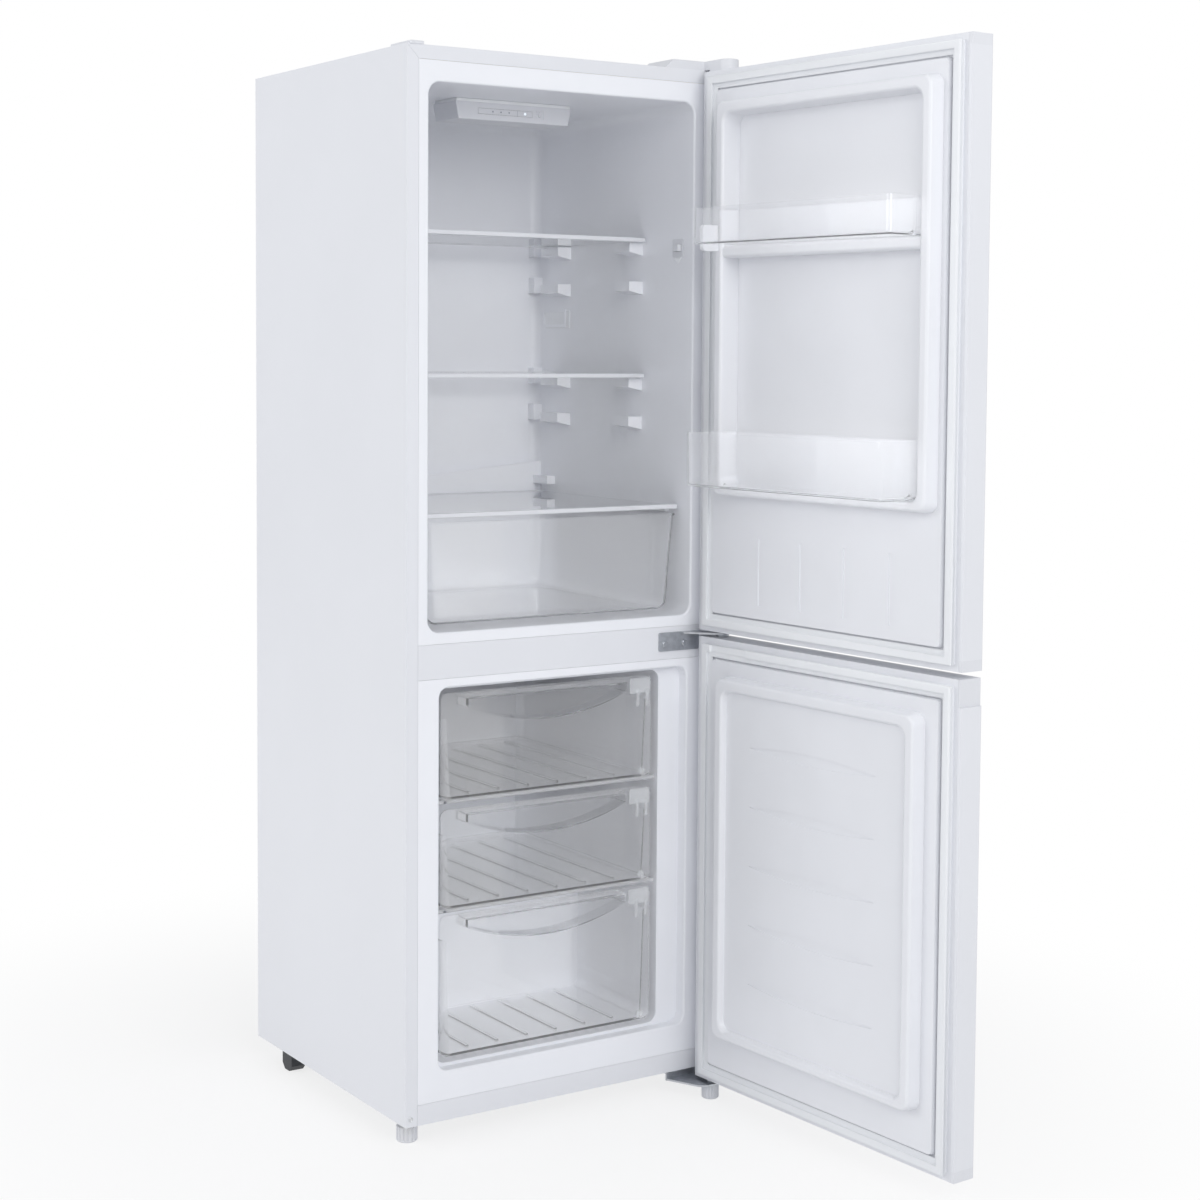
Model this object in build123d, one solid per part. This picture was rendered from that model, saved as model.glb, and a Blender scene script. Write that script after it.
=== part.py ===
from build123d import *
import os

# A free-standing bottom-freezer refrigerator. Both doors hang on the right and stand open.
# Millimetres, with X to the right, Y to the back and Z up. The origin is on the floor, midway
# between the sides, below the plane of the cabinet's front edge.

# Cabinet shell
CABINET_WIDTH = 500.0
CABINET_DEPTH = 455.0
FOOT_HEIGHT = 32.0        # the floor to the cabinet's underside
SHEET = 0.8               # painted steel
SIDE_FLANGE = 17.0        # front edge of a side panel, folded inwards
TOP_FLANGE = 18.0
FOLD = 15.0               # returns of the beam and the rail, folded backwards
SEAM = 0.3                # gap between sheets and mouldings that meet

# The cabinet's front, from the underside up
RAIL_HEIGHT = 27.0
FREEZER_SILL = 39.0
FREEZER_MOUTH_HEIGHT = 504.0
FREEZER_HEADER = 12.0
BEAM_HEIGHT = 45.0
FRIDGE_SILL = 15.0
FRIDGE_MOUTH_HEIGHT = 703.0
FRIDGE_HEADER = 45.0

# Fridge liner
FRIDGE_LIP_LEFT = 32.0
FRIDGE_LIP_RIGHT = 55.0
FRIDGE_DEPTH = 404.0
FRIDGE_DRAFT = 2.5        # how far each wall has closed in at the back
FRIDGE_CORNER = 17.0
BACK_CORNER = 15.0
LINER_WALL = 2.0
LIP_ROUND = 3.0           # from the lip into the mouth

# Freezer liner
FREEZER_LIP_LEFT = 49.0
FREEZER_LIP_RIGHT = 60.0
FREEZER_CORNER = 14.0
FREEZER_LEDGE_DEPTH = 18.0
FREEZER_STEP_LEFT = 5.0
FREEZER_STEP_RIGHT = 35.0
FREEZER_STEP_SILL = 4.0
FREEZER_DEPTH = 400.0
FREEZER_FLOOR_DEPTH = 220.0   # in front of the hump over the machine bay
HUMP_HEIGHT = 163.0
BAY_INSULATION = 39.0

# Doors
DOOR_THICKNESS = 36.0
DOOR_STANDOFF = 12.0      # between a closed door and the cabinet, which the gasket fills
DOOR_GAP = 9.0            # between the two doors
SPLIT_DROP = 9.0          # the middle of that gap below the top of the beam
DOOR_TOP_DROP = 5.0
DOOR_BOTTOM_DROP = 5.0
DOOR_EDGE_ROUND = 3.0
DOOR_HINGE_ROUND = 5.0    # inner corner at the hinge side, where the door passes the cabinet
DOOR_RETURN = 6.0
DOOR_OPEN = 93.5          # degrees, as the doors stand at rest
HINGE_INSET = 25.0        # the hinge axis in from the side
HINGE_BACK = 24.0         # the hinge axis in front of the door's inner plane
END_CAP = 14.0
GRIP_CAP = 34.0           # top cap of the lower door, cut back at the free edge as a grip
GRIP_SETBACK = 3.5
CAP_PLUG = 2.0            # the grip cap's lip inside the skin
GASKET_MARGIN = 11.0      # between the free edge of a door and its gasket
GASKET_HINGE_MARGIN = 20.0
GASKET_END_MARGIN = 8.0
GASKET_WIDTH = 17.0
GASKET_THICKNESS = 10.0
GASKET_ROUND = 2.5
GASKET_POCKET = 3.5       # how deep the lower gasket is let in over the middle hinge

# Raised forms of the door liners, as heights over the door's inner plane
PEDESTAL_MARGIN = 1.5     # between the gasket and the pedestal
PEDESTAL_CORNER = 6.0
PEDESTAL_HEIGHT = 8.0
DYKE_HEIGHT = 28.0
DYKE_DRAFT = 3.0
DYKE_ROUND = 4.0
DYKE_CORNER = 14.0
DYKE_FREE_CLEARANCE = 5.0
DYKE_HINGE_CLEARANCE = 3.0
DYKE_TOP_CLEARANCE = 4.0
DYKE_WIDTH = 15.0
DYKE_SILL = 10.0          # its width along the bottom
UPPER_DYKE_RISE = 169.0   # bottom of the upper dyke over the bottom of the fridge mouth
LOWER_DYKE_WIDTH = 14.0
LOWER_DYKE_SILL = 10.0
LOWER_RECESS_DEPTH = 8.0
LOWER_DYKE_CLEARANCE = 2.0
LOWER_DYKE_HINGE_CLEARANCE = 7.0
LOWER_DYKE_RISE = 4.0
GROOVE_DEPTH = 1.2
GROOVE_WIDTH = 8.0
FLUTE_HEIGHT = 90.0
FLUTE_RISE = 26.0
FLUTE_PITCH = 82.0
FLUTE_COUNT = 4
LENS_WIDTH = 240.0
LENS_HEIGHT = 14.0
LENS_PITCH = 80.0
LENS_COUNT = 5
LENS_RISE = 93.0          # lowest lens groove over the bottom of the freezer mouth

# Door bins
BIN_WALL = 2.2
BIN_CLEARANCE = 3.0
BIN_OVERHANG = 9.0        # the front part of a bin reaches over the dyke by this much
UPPER_BIN_RISE = 505.0    # over the bottom of the fridge mouth
UPPER_BIN_HEIGHT = 48.0
UPPER_BIN_DEPTH = 73.0
LOWER_BIN_HEIGHT = 72.0
LOWER_BIN_DEPTH = 82.0
BIN_CORNER = 6.0
BIN_EDGE = 3.0            # its lower front edge
BIN_STEP = 1.0            # how much wider the front part is at the free side
LEDGE_THICKNESS = 16.0    # moulded ledge that carries the upper bin
LEDGE_REACH = 26.0
LEDGE_ROUND = 5.0
LUG_WIDTH = 6.0           # lug beside the upper bin, which works the light switch
LUG_REACH = 55.0
LUG_DROP = 7.0            # its foot below the top of the ledge
LUG_RISE = 27.0           # its top over the top of the ledge

# Shelves of the fridge
SHELF_CLEARANCE = 2.5
GLASS = 4.0
TRIM_HEIGHT = 6.0
TRIM_DEPTH = 10.0
TRIM_LIP = 2.0            # how deep the glass sits in a trim
TRIM_ROUND = 1.2
UPPER_SHELF_RISE = 517.5
MIDDLE_SHELF_RISE = 326.0
SHELF_FRONT = 110.0
SHELF_DEPTH = 248.0
COVER_RISE = 145.4
COVER_FRONT = 26.0
COVER_DEPTH = 358.0
COVER_LEDGE_SETBACK = 25.0
COVER_LEDGE_REACH = 6.0
COVER_LEDGE_HEIGHT = 5.0
RIB_REACH = 22.5
RIB_HEIGHT = 18.4         # at the wall
RIB_SLOPE = 5.3           # how much lower the rib is at its tip
RIB_SPACING = 55.0        # from a shelf's ribs to the spare ribs below them
FRONT_RIB_SETBACK = 11.5
FRONT_RIB = 37.0
REAR_RIB_SETBACK = 199.0
REAR_RIB = 48.0
STOP_WIDTH = 15.0         # block in the back corner that a shelf is pushed up to
STOP_DEPTH = 16.0
STOP_HEIGHT = 24.0
HOLD_DOWN_RISE = 162.0    # block on the wall that keeps the crisper's cover from tipping
HOLD_DOWN_HEIGHT = 12.0
HOLD_DOWN_DEPTH = 54.0
HOLD_DOWN_REACH = 14.0
FRAME_FRONT = 321.0       # shallow raised frame on each side wall
FRAME_LENGTH = 65.0
FRAME_RISE = 399.0
FRAME_HEIGHT = 26.5
FRAME_RELIEF = 1.0
FRAME_BORDER = 4.0
REST_GAP = 0.3            # between a sliding piece and what carries it

# Crisper
CRISPER_WALL = 2.5
CRISPER_FRONT = 21.0
CRISPER_DEPTH = 345.0
CRISPER_HEIGHT = 134.0
CRISPER_FLOOR_GAP = 3.0
CRISPER_SIDE_GAP = 6.5
CRISPER_DRAFT = 10.0
CRISPER_LIP = 3.0
CRISPER_LEAN = 4.0        # how far the front has come back at the floor
CRISPER_CORNER = 14.0

# Gutter for melt water: a raised panel across the fridge's back wall
GUTTER_RISE = 150.0       # bottom edge of the panel
GUTTER_HEIGHT = 27.0      # at the lowest point of its upper edge
GUTTER_FALL = 24.0
GUTTER_REACH = 14.0
GUTTER_WALL = 3.0
GUTTER_GROOVE = 8.0       # depth of the channel behind the panel's upper edge
DRAIN_RADIUS = 8.0
DRAIN_BORE = 6.0

# Control box under the fridge's ceiling
CONTROL_FRONT = 128.0
CONTROL_DEPTH = 62.0
CONTROL_WIDTH = 184.0
CONTROL_SHIFT = -4.0      # its middle from the middle of the fridge
CONTROL_HEIGHT = 24.0
CONTROL_SLANT = 5.0
CONTROL_WALL = 2.0
CONTROL_DROP = 4.0        # fixing neck between box and ceiling
CONTROL_NECK_INSET = 8.0
CONTROL_ROUND = 1.5
CONTROL_POST = 6.0        # post behind the board
CONTROL_POST_OFFSET = 27.0
LENS_STRIP_WIDTH = 86.0
LENS_STRIP_SHIFT = -14.0
LENS_STRIP_HEIGHT = 8.0
BUTTON_RADIUS = 3.5
BUTTON_PROUD = 1.6
BUTTON_ROUND = 0.6
BUTTON_COLLAR = 1.5       # from the housing's wall to the collar's end
BUTTON_FIT = 0.2
BUTTON_OFFSET = 41.0      # from the box's middle
BUTTON_FRAME = 12.0       # fine square groove around the button
BUTTON_GROOVE = 0.5
BOARD_INSET = 16.0
BOARD_BACK = 5.0          # between the housing's front wall and the board
LED_COUNT = 5
LED_SIZE = 3.0
BOARD_THICKNESS = 1.6
LAMP_WIDTH = 60.0
LAMP_DEPTH = 26.0

# Light switch in the fridge's right wall
SWITCH_FRONT = 24.0
SWITCH_WIDTH = 21.0
SWITCH_HEIGHT = 20.5
SWITCH_RISE = 496.5
SWITCH_FLANGE = 2.0
SWITCH_POCKET = 16.0
SWITCH_WALL = 1.5
ROCKER_PROUD = 6.0
ROCKER_HEIGHT = 9.0
RUNNING_GAP = 0.4

# Freezer drawers and the shelves between them
DRAWER_WALL = 2.5
DRAWER_SIDE_GAP = 9.0
DRAWER_FRONT = 22.0
DRAWER_DEPTH = 328.0
BOTTOM_DRAWER_DEPTH = 190.0
DRAWER_CORNER = 10.0
DRAWER_RIM_DROP = 34.0    # the tub's rim below the top of the drawer's front
DRAWER_DRAFT = 5.0
DIVIDER = 5.0
DIVIDER_RIB = 5.0
DIVIDER_RIB_FRONT = 20.0  # from the shelf's front
DIVIDER_RIB_BACK = 30.0   # from its back
DIVIDER_CLEARANCE = 1.0
DIVIDER_ROUND = 2.0
DIVIDER_FRONT = 24.0
DIVIDER_DEPTH = 366.0
DRAWER_GAP = 3.0
BOTTOM_DRAWER_HEIGHT = 188.0
MIDDLE_DRAWER_HEIGHT = 131.0
TOP_DRAWER_CLEARANCE = 7.5    # under the freezer's ceiling
SCOOP_WIDTH = 250.0
SCOOP_DEPTH = 26.0
SCOOP_HEIGHT = 34.0
SCOOP_DROP = 10.0
SCOOP_SHOULDER = 10.0
TUB_INSET = 4.0           # tub in from each end of the front plate
TUB_CORNER = 8.0
FLOOR_RIBS = 6
FLOOR_RIB = 4.0
FLOOR_RIB_INSET = 14.0

# Hinges
BRACKET = 2.5
PIN_RADIUS = 4.0
PIN_REACH = 18.0          # into a door
PIN_END = 4.0             # plastic beyond a pin's bore
PIN_FIT = 0.05
BOSS_RADIUS = 9.0
WASHER_RADIUS = 9.0
WASHER_GAP = 0.2
HINGE_ARM = 28.0          # width of the cover's nose over the top plate's arm
PLATE_LEFT = 74.0         # left end of the top plate from the hinge axis
PLATE_DEPTH = 55.0
BOTTOM_BRACKET_DROP = 9.0
BOTTOM_LEFT = 63.0
BOTTOM_RIGHT = 16.0
BOTTOM_DEPTH = 29.0
MIDDLE_LEFT = 83.0        # ends of the middle bracket's foot from the hinge axis
MIDDLE_RIGHT = 16.0
MIDDLE_FOOT = 9.5         # below the screws
MIDDLE_ARM = 30.0
MIDDLE_TIP = 11.0
BEAM_SCREW_DROP = 1.5     # below the middle of the beam
SCREW_RADIUS = 2.0
SCREW_HEAD_RADIUS = 4.5
SCREW_HEAD = 2.4
SCREW_LENGTH = 14.0
COVER_LEFT = 78.0
COVER_BACK = 60.0
COVER_HEIGHT = 12.0
COVER_SLOPE = 14.0
COVER_WALL = 2.0
CAP_HEIGHT = 4.0
CAP_INSET = 4.0
CAP_WIDTH = 20.0
CAP_LENGTH = 54.0
CAP_OVERHANG = 2.0        # past the cabinet's front
CAP_ROUND = 1.5

# Feet
FOOT_RADIUS = 14.0
LEFT_FOOT_INSET = 24.0
LEFT_FOOT_Y = 41.0
FOOT_PAD_HEIGHT = 20.0
RIGHT_FOOT_RADIUS = 12.0
RIGHT_FOOT_INSET = 40.0
RIGHT_FOOT_BACK = -2.0    # from the hinge axis
STEM_RADIUS = 4.0
STEM_LENGTH = 26.0
STEM_ROOM = 12.0          # free space over the stem
FOOT_RIBS = 16
FOOT_BASE = 3.0           # plain edge below the ribs
FOOT_GROOVE = 1.2
FOOT_EDGE = 1.5
REAR_FOOT_LENGTH = 30.0
REAR_FOOT_TOE = 8.0
REAR_FOOT_WIDTH = 22.0
REAR_FOOT_INSET = 11.0
REAR_FOOT_FRONT = 365.0

# Machine bay
BASE_PLATE = 2.0
BASE_LIP = 14.0
COMPRESSOR_RADIUS = 68.0
COMPRESSOR_HEIGHT = 146.0
GROMMET_HEIGHT = 12.0
GROMMET_RADIUS = 11.0
GROMMET_BORE = 3.0
COMPRESSOR_X = 30.0
COMPRESSOR_PLATE = 4.0
COMPRESSOR_FOOT_WIDTH = 180.0
COMPRESSOR_FOOT_DEPTH = 124.0
CAN_ROUND = 28.0
CAN_SEAM_SHARE = 0.45      # height of the weld seam on the compressor
CAN_SEAM_REACH = 3.0
MOUNT_INSET = 11.5
RELAY_RISE = 40.0
RELAY_GAP = 4.0
RELAY_WIDTH = 34.0
RELAY_DEPTH = 52.0
RELAY_HEIGHT = 62.0
GLAND_RADIUS = 6.0
TRAY_WIDTH = 140.0
TRAY_DEPTH = 124.0
TRAY_HEIGHT = 12.0
TRAY_WALL = 1.5
TRAY_CORNER = 14.0

# Condenser on the back
CONDENSER_TUBE = 2.4
CONDENSER_STANDOFF = 15.0
CONDENSER_WIDTH = 380.0
CONDENSER_PITCH = 50.0
CONDENSER_RUNS = 21
CONDENSER_RISE = 60.0     # lowest run over the roof of the machine bay
WIRE_RADIUS = 0.7
WIRE_PITCH = 12.0
WIRE_INSET = 14.0
WIRE_OVERRUN = 12.0       # past the lowest and the highest run
WALL_GAP = 42.0           # the clips hold the cabinet this far off a wall
CLIP_WIDTH = 8.0
CLIP_HEIGHT = 40.0
CLIP_RUN = 2              # the run that the clips hold, from either end
BEND = 12.0
FEED_DROP = 60.0          # start of the tube below the roof of the machine bay
RETURN_OFFSET = 15.0      # the last run down, beside the serpentine
RETURN_DROP = 40.0
DRIER_LENGTH = 110.0
DRIER_RADIUS = 9.0
DRIER_GAP = 0.1

# Evaporator plates behind the liners
EVAPORATOR_INSET = 92.0
EVAPORATOR_MARGIN = 50.0
EVAPORATOR_PLATE = 1.5
EVAPORATOR_PITCH = 60.0
EVAPORATOR_TUBE = 4.0

# Places worked out from the sizes above
LEFT, RIGHT = -CABINET_WIDTH / 2, CABINET_WIDTH / 2
RAIL_TOP = FOOT_HEIGHT + RAIL_HEIGHT
FREEZER_BOTTOM = RAIL_TOP + FREEZER_SILL
FREEZER_TOP = FREEZER_BOTTOM + FREEZER_MOUTH_HEIGHT
BEAM_BOTTOM = FREEZER_TOP + FREEZER_HEADER
BEAM_TOP = BEAM_BOTTOM + BEAM_HEIGHT
FRIDGE_BOTTOM = BEAM_TOP + FRIDGE_SILL
FRIDGE_TOP = FRIDGE_BOTTOM + FRIDGE_MOUTH_HEIGHT
CABINET_TOP = FRIDGE_TOP + FRIDGE_HEADER
DOOR_INNER = -DOOR_STANDOFF
DOOR_FRONT = DOOR_INNER - DOOR_THICKNESS
SPLIT = BEAM_TOP - SPLIT_DROP
LOWER_DOOR_BOTTOM = FOOT_HEIGHT - DOOR_BOTTOM_DROP
LOWER_DOOR_TOP = SPLIT - DOOR_GAP / 2
UPPER_DOOR_BOTTOM = SPLIT + DOOR_GAP / 2
UPPER_DOOR_TOP = CABINET_TOP - DOOR_TOP_DROP
HINGE_X = RIGHT - HINGE_INSET
HINGE_Y = DOOR_INNER - HINGE_BACK
FREEZER_LEFT = LEFT + FREEZER_LIP_LEFT
FREEZER_RIGHT = RIGHT - FREEZER_LIP_RIGHT
FREEZER_INNER_LEFT = FREEZER_LEFT + FREEZER_STEP_LEFT
FREEZER_INNER_RIGHT = FREEZER_RIGHT - FREEZER_STEP_RIGHT
FREEZER_FLOOR = FREEZER_BOTTOM + FREEZER_STEP_SILL
FREEZER_CEILING = FREEZER_TOP - FREEZER_STEP_SILL
HUMP_TOP = FREEZER_FLOOR + HUMP_HEIGHT
BAY_ROOF = HUMP_TOP - LINER_WALL - BAY_INSULATION
BAY_FRONT = FREEZER_FLOOR_DEPTH + LINER_WALL + BAY_INSULATION
FRIDGE_MIDDLE = (LEFT + FRIDGE_LIP_LEFT + RIGHT - FRIDGE_LIP_RIGHT) / 2
DRAIN_Z = FRIDGE_BOTTOM + GUTTER_RISE + GUTTER_HEIGHT - GUTTER_GROOVE + DRAIN_BORE
RIGHT_FOOT_X = RIGHT - RIGHT_FOOT_INSET
RIGHT_FOOT_Y = HINGE_Y + RIGHT_FOOT_BACK
BEAM_SCREW_Z = (BEAM_BOTTOM + BEAM_TOP) / 2 - BEAM_SCREW_DROP


def block(x0, x1, y0, y1, z0, z1):
    """A box between two corners."""
    return Pos((x0 + x1) / 2, (y0 + y1) / 2, (z0 + z1) / 2) * Box(x1 - x0, y1 - y0, z1 - z0)


def upright(x, y, z0, z1, radius):
    """A vertical cylinder."""
    return Pos(x, y, (z0 + z1) / 2) * Cylinder(radius, z1 - z0)


def level(x, y0, y1, z, radius):
    """A cylinder along Y."""
    return Pos(x, (y0 + y1) / 2, z) * Rot(90, 0, 0) * Cylinder(radius, y1 - y0)


def section(x0, x1, z0, z1, radius, y):
    """A rounded rectangle that faces the front, at depth y."""
    plane = Plane(origin=((x0 + x1) / 2, y, (z0 + z1) / 2), x_dir=(1, 0, 0), z_dir=(0, -1, 0))
    return plane * RectangleRounded(x1 - x0, z1 - z0, radius)


def tunnel(front, back, radius, y_front, y_back):
    """A solid between two rounded rectangles, each given as left, right, bottom and top."""
    ends = [section(*front, radius, y_front), section(*back, radius, y_back)]
    return loft(ends, ruled=True)


def drawn_in(rectangle, amount):
    """A rectangle with each side moved inwards, or outwards by a negative amount."""
    x0, x1, z0, z1 = rectangle
    return x0 + amount, x1 - amount, z0 + amount, z1 - amount


def edges_at(shape, axis, place):
    """The edges that lie at one place along an axis."""
    reach = 0.01
    return shape.edges().filter_by_position(axis, place - reach, place + reach)


def on_door(height):
    """The depth of a point at this height over a closed door's inner plane."""
    return DOOR_INNER + height


def upright_plane(y):
    """A plane at depth y whose shapes are drawn as X and Z and extruded to the front."""
    return Plane(origin=(0, y, 0), x_dir=(1, 0, 0), z_dir=(0, -1, 0))


def swing(shape):
    """Turns a piece of a closed door to where the door stands at rest."""
    return shape.rotate(Axis((HINGE_X, HINGE_Y, 0), (0, 0, 1)), DOOR_OPEN)


def fridge_left(y):
    """The left wall of the fridge at depth y."""
    return LEFT + FRIDGE_LIP_LEFT + FRIDGE_DRAFT * y / FRIDGE_DEPTH


def fridge_right(y):
    """The right wall of the fridge at depth y."""
    return RIGHT - FRIDGE_LIP_RIGHT - FRIDGE_DRAFT * y / FRIDGE_DEPTH


def fridge_ceiling(y):
    """The ceiling of the fridge at depth y."""
    return FRIDGE_TOP - FRIDGE_DRAFT * y / FRIDGE_DEPTH


# ---------------------------------------------------------------- cavities

def fridge_cavity(wall):
    """The space in the fridge, grown by a wall's thickness at the sides and the back."""
    mouth = (LEFT + FRIDGE_LIP_LEFT, RIGHT - FRIDGE_LIP_RIGHT, FRIDGE_BOTTOM, FRIDGE_TOP)
    back = drawn_in(mouth, FRIDGE_DRAFT)
    grown = FRIDGE_CORNER + wall
    space = tunnel(drawn_in(mouth, -wall), drawn_in(back, -wall), grown, 0, FRIDGE_DEPTH + wall)
    return fillet(edges_at(space, Axis.Y, FRIDGE_DEPTH + wall), BACK_CORNER + wall)


def freezer_cavity(wall):
    """The space in the freezer, grown by a wall's thickness: ledge, drawer space and hump."""
    mouth = drawn_in((FREEZER_LEFT, FREEZER_RIGHT, FREEZER_BOTTOM, FREEZER_TOP), -wall)
    ledge = tunnel(mouth, mouth, FREEZER_CORNER + wall, 0, FREEZER_LEDGE_DEPTH + wall)
    low = drawn_in((FREEZER_INNER_LEFT, FREEZER_INNER_RIGHT, FREEZER_FLOOR, FREEZER_CEILING), -wall)
    high = (low[0], low[1], HUMP_TOP - wall, low[3])
    floor = tunnel(low, low, FREEZER_CORNER + wall, 0, FREEZER_FLOOR_DEPTH + wall)
    over_hump = tunnel(high, high, FREEZER_CORNER + wall, 0, FREEZER_DEPTH + wall)
    return ledge + floor + over_hump


def mouth_edges(tub, bottom, top):
    """The edges around a liner's mouth, without those of its lip."""
    side = RIGHT - SIDE_FLANGE - SEAM - 1
    return [edge for edge in edges_at(tub, Axis.Y, 0)
            if abs(edge.center().X) < side and bottom - 1 < edge.center().Z < top + 1]


def fridge_liner():
    """The white tub of the fridge, with its lip and the forms on its walls."""
    lip_edge = SIDE_FLANGE + SEAM
    lip = block(LEFT + lip_edge, RIGHT - lip_edge, 0, LINER_WALL,
                BEAM_TOP + SEAM, CABINET_TOP - TOP_FLANGE - SEAM)
    tub = lip + fridge_cavity(LINER_WALL) - fridge_cavity(0)
    tub = fillet(mouth_edges(tub, FRIDGE_BOTTOM, FRIDGE_TOP), LIP_ROUND)
    forms = cover_ledges() + hold_downs() + wall_frames() + gutter()
    for rise in (UPPER_SHELF_RISE, MIDDLE_SHELF_RISE):
        for drop in (0, RIB_SPACING):
            top = FRIDGE_BOTTOM + rise - REST_GAP - drop
            forms += shelf_ribs(top) + back_stops(top)
    drain = level(FRIDGE_MIDDLE, FRIDGE_DEPTH - LINER_WALL, FRIDGE_DEPTH + 2 * LINER_WALL,
                  DRAIN_Z, DRAIN_BORE)
    return tub + (forms & fridge_cavity(LINER_WALL / 2)) - switch_window(RUNNING_GAP) - drain


def shelf_ribs(top):
    """Two wedges on each side wall that carry a shelf whose underside is just over their tops."""
    low = top - RIB_HEIGHT
    ribs = Part()
    for setback, length in ((FRONT_RIB_SETBACK, FRONT_RIB), (REAR_RIB_SETBACK, REAR_RIB)):
        end = SHELF_FRONT + setback + length
        for wall, way in ((fridge_left(end), 1), (fridge_right(end), -1)):
            root, tip = wall - way, wall + way * RIB_REACH
            outline = Polyline((root, low), (tip, low + RIB_SLOPE), (tip, top), (root, top), close=True)
            ribs += extrude(upright_plane(end) * make_face(outline), length)
    return ribs


def on_both_walls(reach, y0, y1, z0, z1):
    """A block on each side wall of the fridge."""
    left, right = fridge_left(y1), fridge_right(y1)
    return block(left - 1, left + reach, y0, y1, z0, z1) + block(right - reach, right + 1, y0, y1, z0, z1)


def back_stops(top):
    """Blocks in the back corners that a shelf on these ribs is pushed up to."""
    low = top - STOP_HEIGHT / 2
    return on_both_walls(STOP_WIDTH, FRIDGE_DEPTH - STOP_DEPTH, FRIDGE_DEPTH + 1, low, low + STOP_HEIGHT)


def cover_ledges():
    """A ledge on each side wall that carries the glass over the crisper."""
    top = FRIDGE_BOTTOM + COVER_RISE - REST_GAP
    return on_both_walls(COVER_LEDGE_REACH, COVER_FRONT + COVER_LEDGE_SETBACK,
                         COVER_FRONT + COVER_DEPTH - COVER_LEDGE_SETBACK, top - COVER_LEDGE_HEIGHT, top)


def hold_downs():
    """A block on each side wall over the back of the crisper's cover."""
    low = FRIDGE_BOTTOM + HOLD_DOWN_RISE
    return on_both_walls(HOLD_DOWN_REACH, FRIDGE_DEPTH - HOLD_DOWN_DEPTH, FRIDGE_DEPTH + 1,
                         low, low + HOLD_DOWN_HEIGHT)


def wall_frames():
    """A shallow raised frame on each side wall below the upper shelf's ribs."""
    low = FRIDGE_BOTTOM + FRAME_RISE
    high = low + FRAME_HEIGHT
    end = FRAME_FRONT + FRAME_LENGTH
    middle = block(LEFT, RIGHT, FRAME_FRONT + FRAME_BORDER, end - FRAME_BORDER,
                   low + FRAME_BORDER, high - FRAME_BORDER)
    return on_both_walls(FRAME_RELIEF, FRAME_FRONT, end, low, high) - middle


def gutter():
    """A panel on the back wall with a channel behind its upper edge that falls to the drain."""
    low = FRIDGE_BOTTOM + GUTTER_RISE
    middle = low + GUTTER_HEIGHT
    side = middle + GUTTER_FALL
    outline = Polyline((LEFT, low), (RIGHT, low), (RIGHT, side), (FRIDGE_MIDDLE, middle), (LEFT, side),
                       close=True)
    panel = extrude(upright_plane(FRIDGE_DEPTH + 1) * make_face(outline), GUTTER_REACH + 1)
    bed = Polyline((LEFT, side - GUTTER_GROOVE), (FRIDGE_MIDDLE, middle - GUTTER_GROOVE),
                   (RIGHT, side - GUTTER_GROOVE), (RIGHT, side + 1), (LEFT, side + 1), close=True)
    channel = extrude(upright_plane(FRIDGE_DEPTH) * make_face(bed), GUTTER_REACH - GUTTER_WALL)
    return panel - channel


def freezer_liner():
    """The white tub of the freezer, with its lip and the ribs under the shelves."""
    lip_edge = SIDE_FLANGE + SEAM
    lip = block(LEFT + lip_edge, RIGHT - lip_edge, 0, LINER_WALL,
                RAIL_TOP + SEAM, BEAM_BOTTOM - SEAM)
    tub = lip + freezer_cavity(LINER_WALL) - freezer_cavity(0)
    tub = fillet(mouth_edges(tub, FREEZER_BOTTOM, FREEZER_TOP), LIP_ROUND)
    for underside in divider_undersides():
        tub += divider_ribs(underside)
    return tub


def divider_undersides():
    """The undersides of the two shelves that part the drawers."""
    low = FREEZER_FLOOR + DRAWER_GAP * 2 + BOTTOM_DRAWER_HEIGHT + DRAWER_GAP
    return low, low + DIVIDER + DRAWER_GAP + MIDDLE_DRAWER_HEIGHT + DRAWER_GAP * 2


def divider_ribs(underside):
    """A rib on each wall of the freezer under a shelf."""
    y0 = DIVIDER_FRONT + DIVIDER_RIB_FRONT
    y1 = DIVIDER_FRONT + DIVIDER_DEPTH - DIVIDER_RIB_BACK
    left, right = FREEZER_INNER_LEFT, FREEZER_INNER_RIGHT
    bottom = underside - DIVIDER_RIB
    return (block(left - 1, left + DIVIDER_RIB, y0, y1, bottom, underside)
            + block(right - DIVIDER_RIB, right + 1, y0, y1, bottom, underside))


# ---------------------------------------------------------------- shell

def front_sheet(points):
    """A piece of sheet in the plane of the cabinet's front edge."""
    outline = Polyline(*points, close=True)
    return extrude(upright_plane(SHEET) * make_face(outline), SHEET)


def side_panel(side):
    """A side panel with its front flange, mitred at the top; side is -1 for left, 1 for right."""
    outer = side * RIGHT
    plate = block(min(outer, outer - side * SHEET), max(outer, outer - side * SHEET),
                  0, CABINET_DEPTH, FOOT_HEIGHT, CABINET_TOP)
    inner = outer - side * SIDE_FLANGE
    flange = front_sheet([(outer, FOOT_HEIGHT), (inner, FOOT_HEIGHT),
                          (inner, CABINET_TOP - TOP_FLANGE), (outer, CABINET_TOP)])
    return plate + flange


def top_panel():
    """The top panel with its front flange, mitred at both ends."""
    x = RIGHT - SHEET
    plate = block(-x, x, SHEET, CABINET_DEPTH, CABINET_TOP - SHEET, CABINET_TOP)
    inner, outer = RIGHT - SIDE_FLANGE - SEAM, RIGHT - SHEET - SEAM
    low, high = CABINET_TOP - TOP_FLANGE, CABINET_TOP - SHEET
    flange = front_sheet([(-inner, low), (inner, low), (outer, high), (outer, CABINET_TOP),
                          (-outer, CABINET_TOP), (-outer, high)])
    return plate + flange - screw_shanks(SCREW_RADIUS + PIN_FIT)


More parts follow.
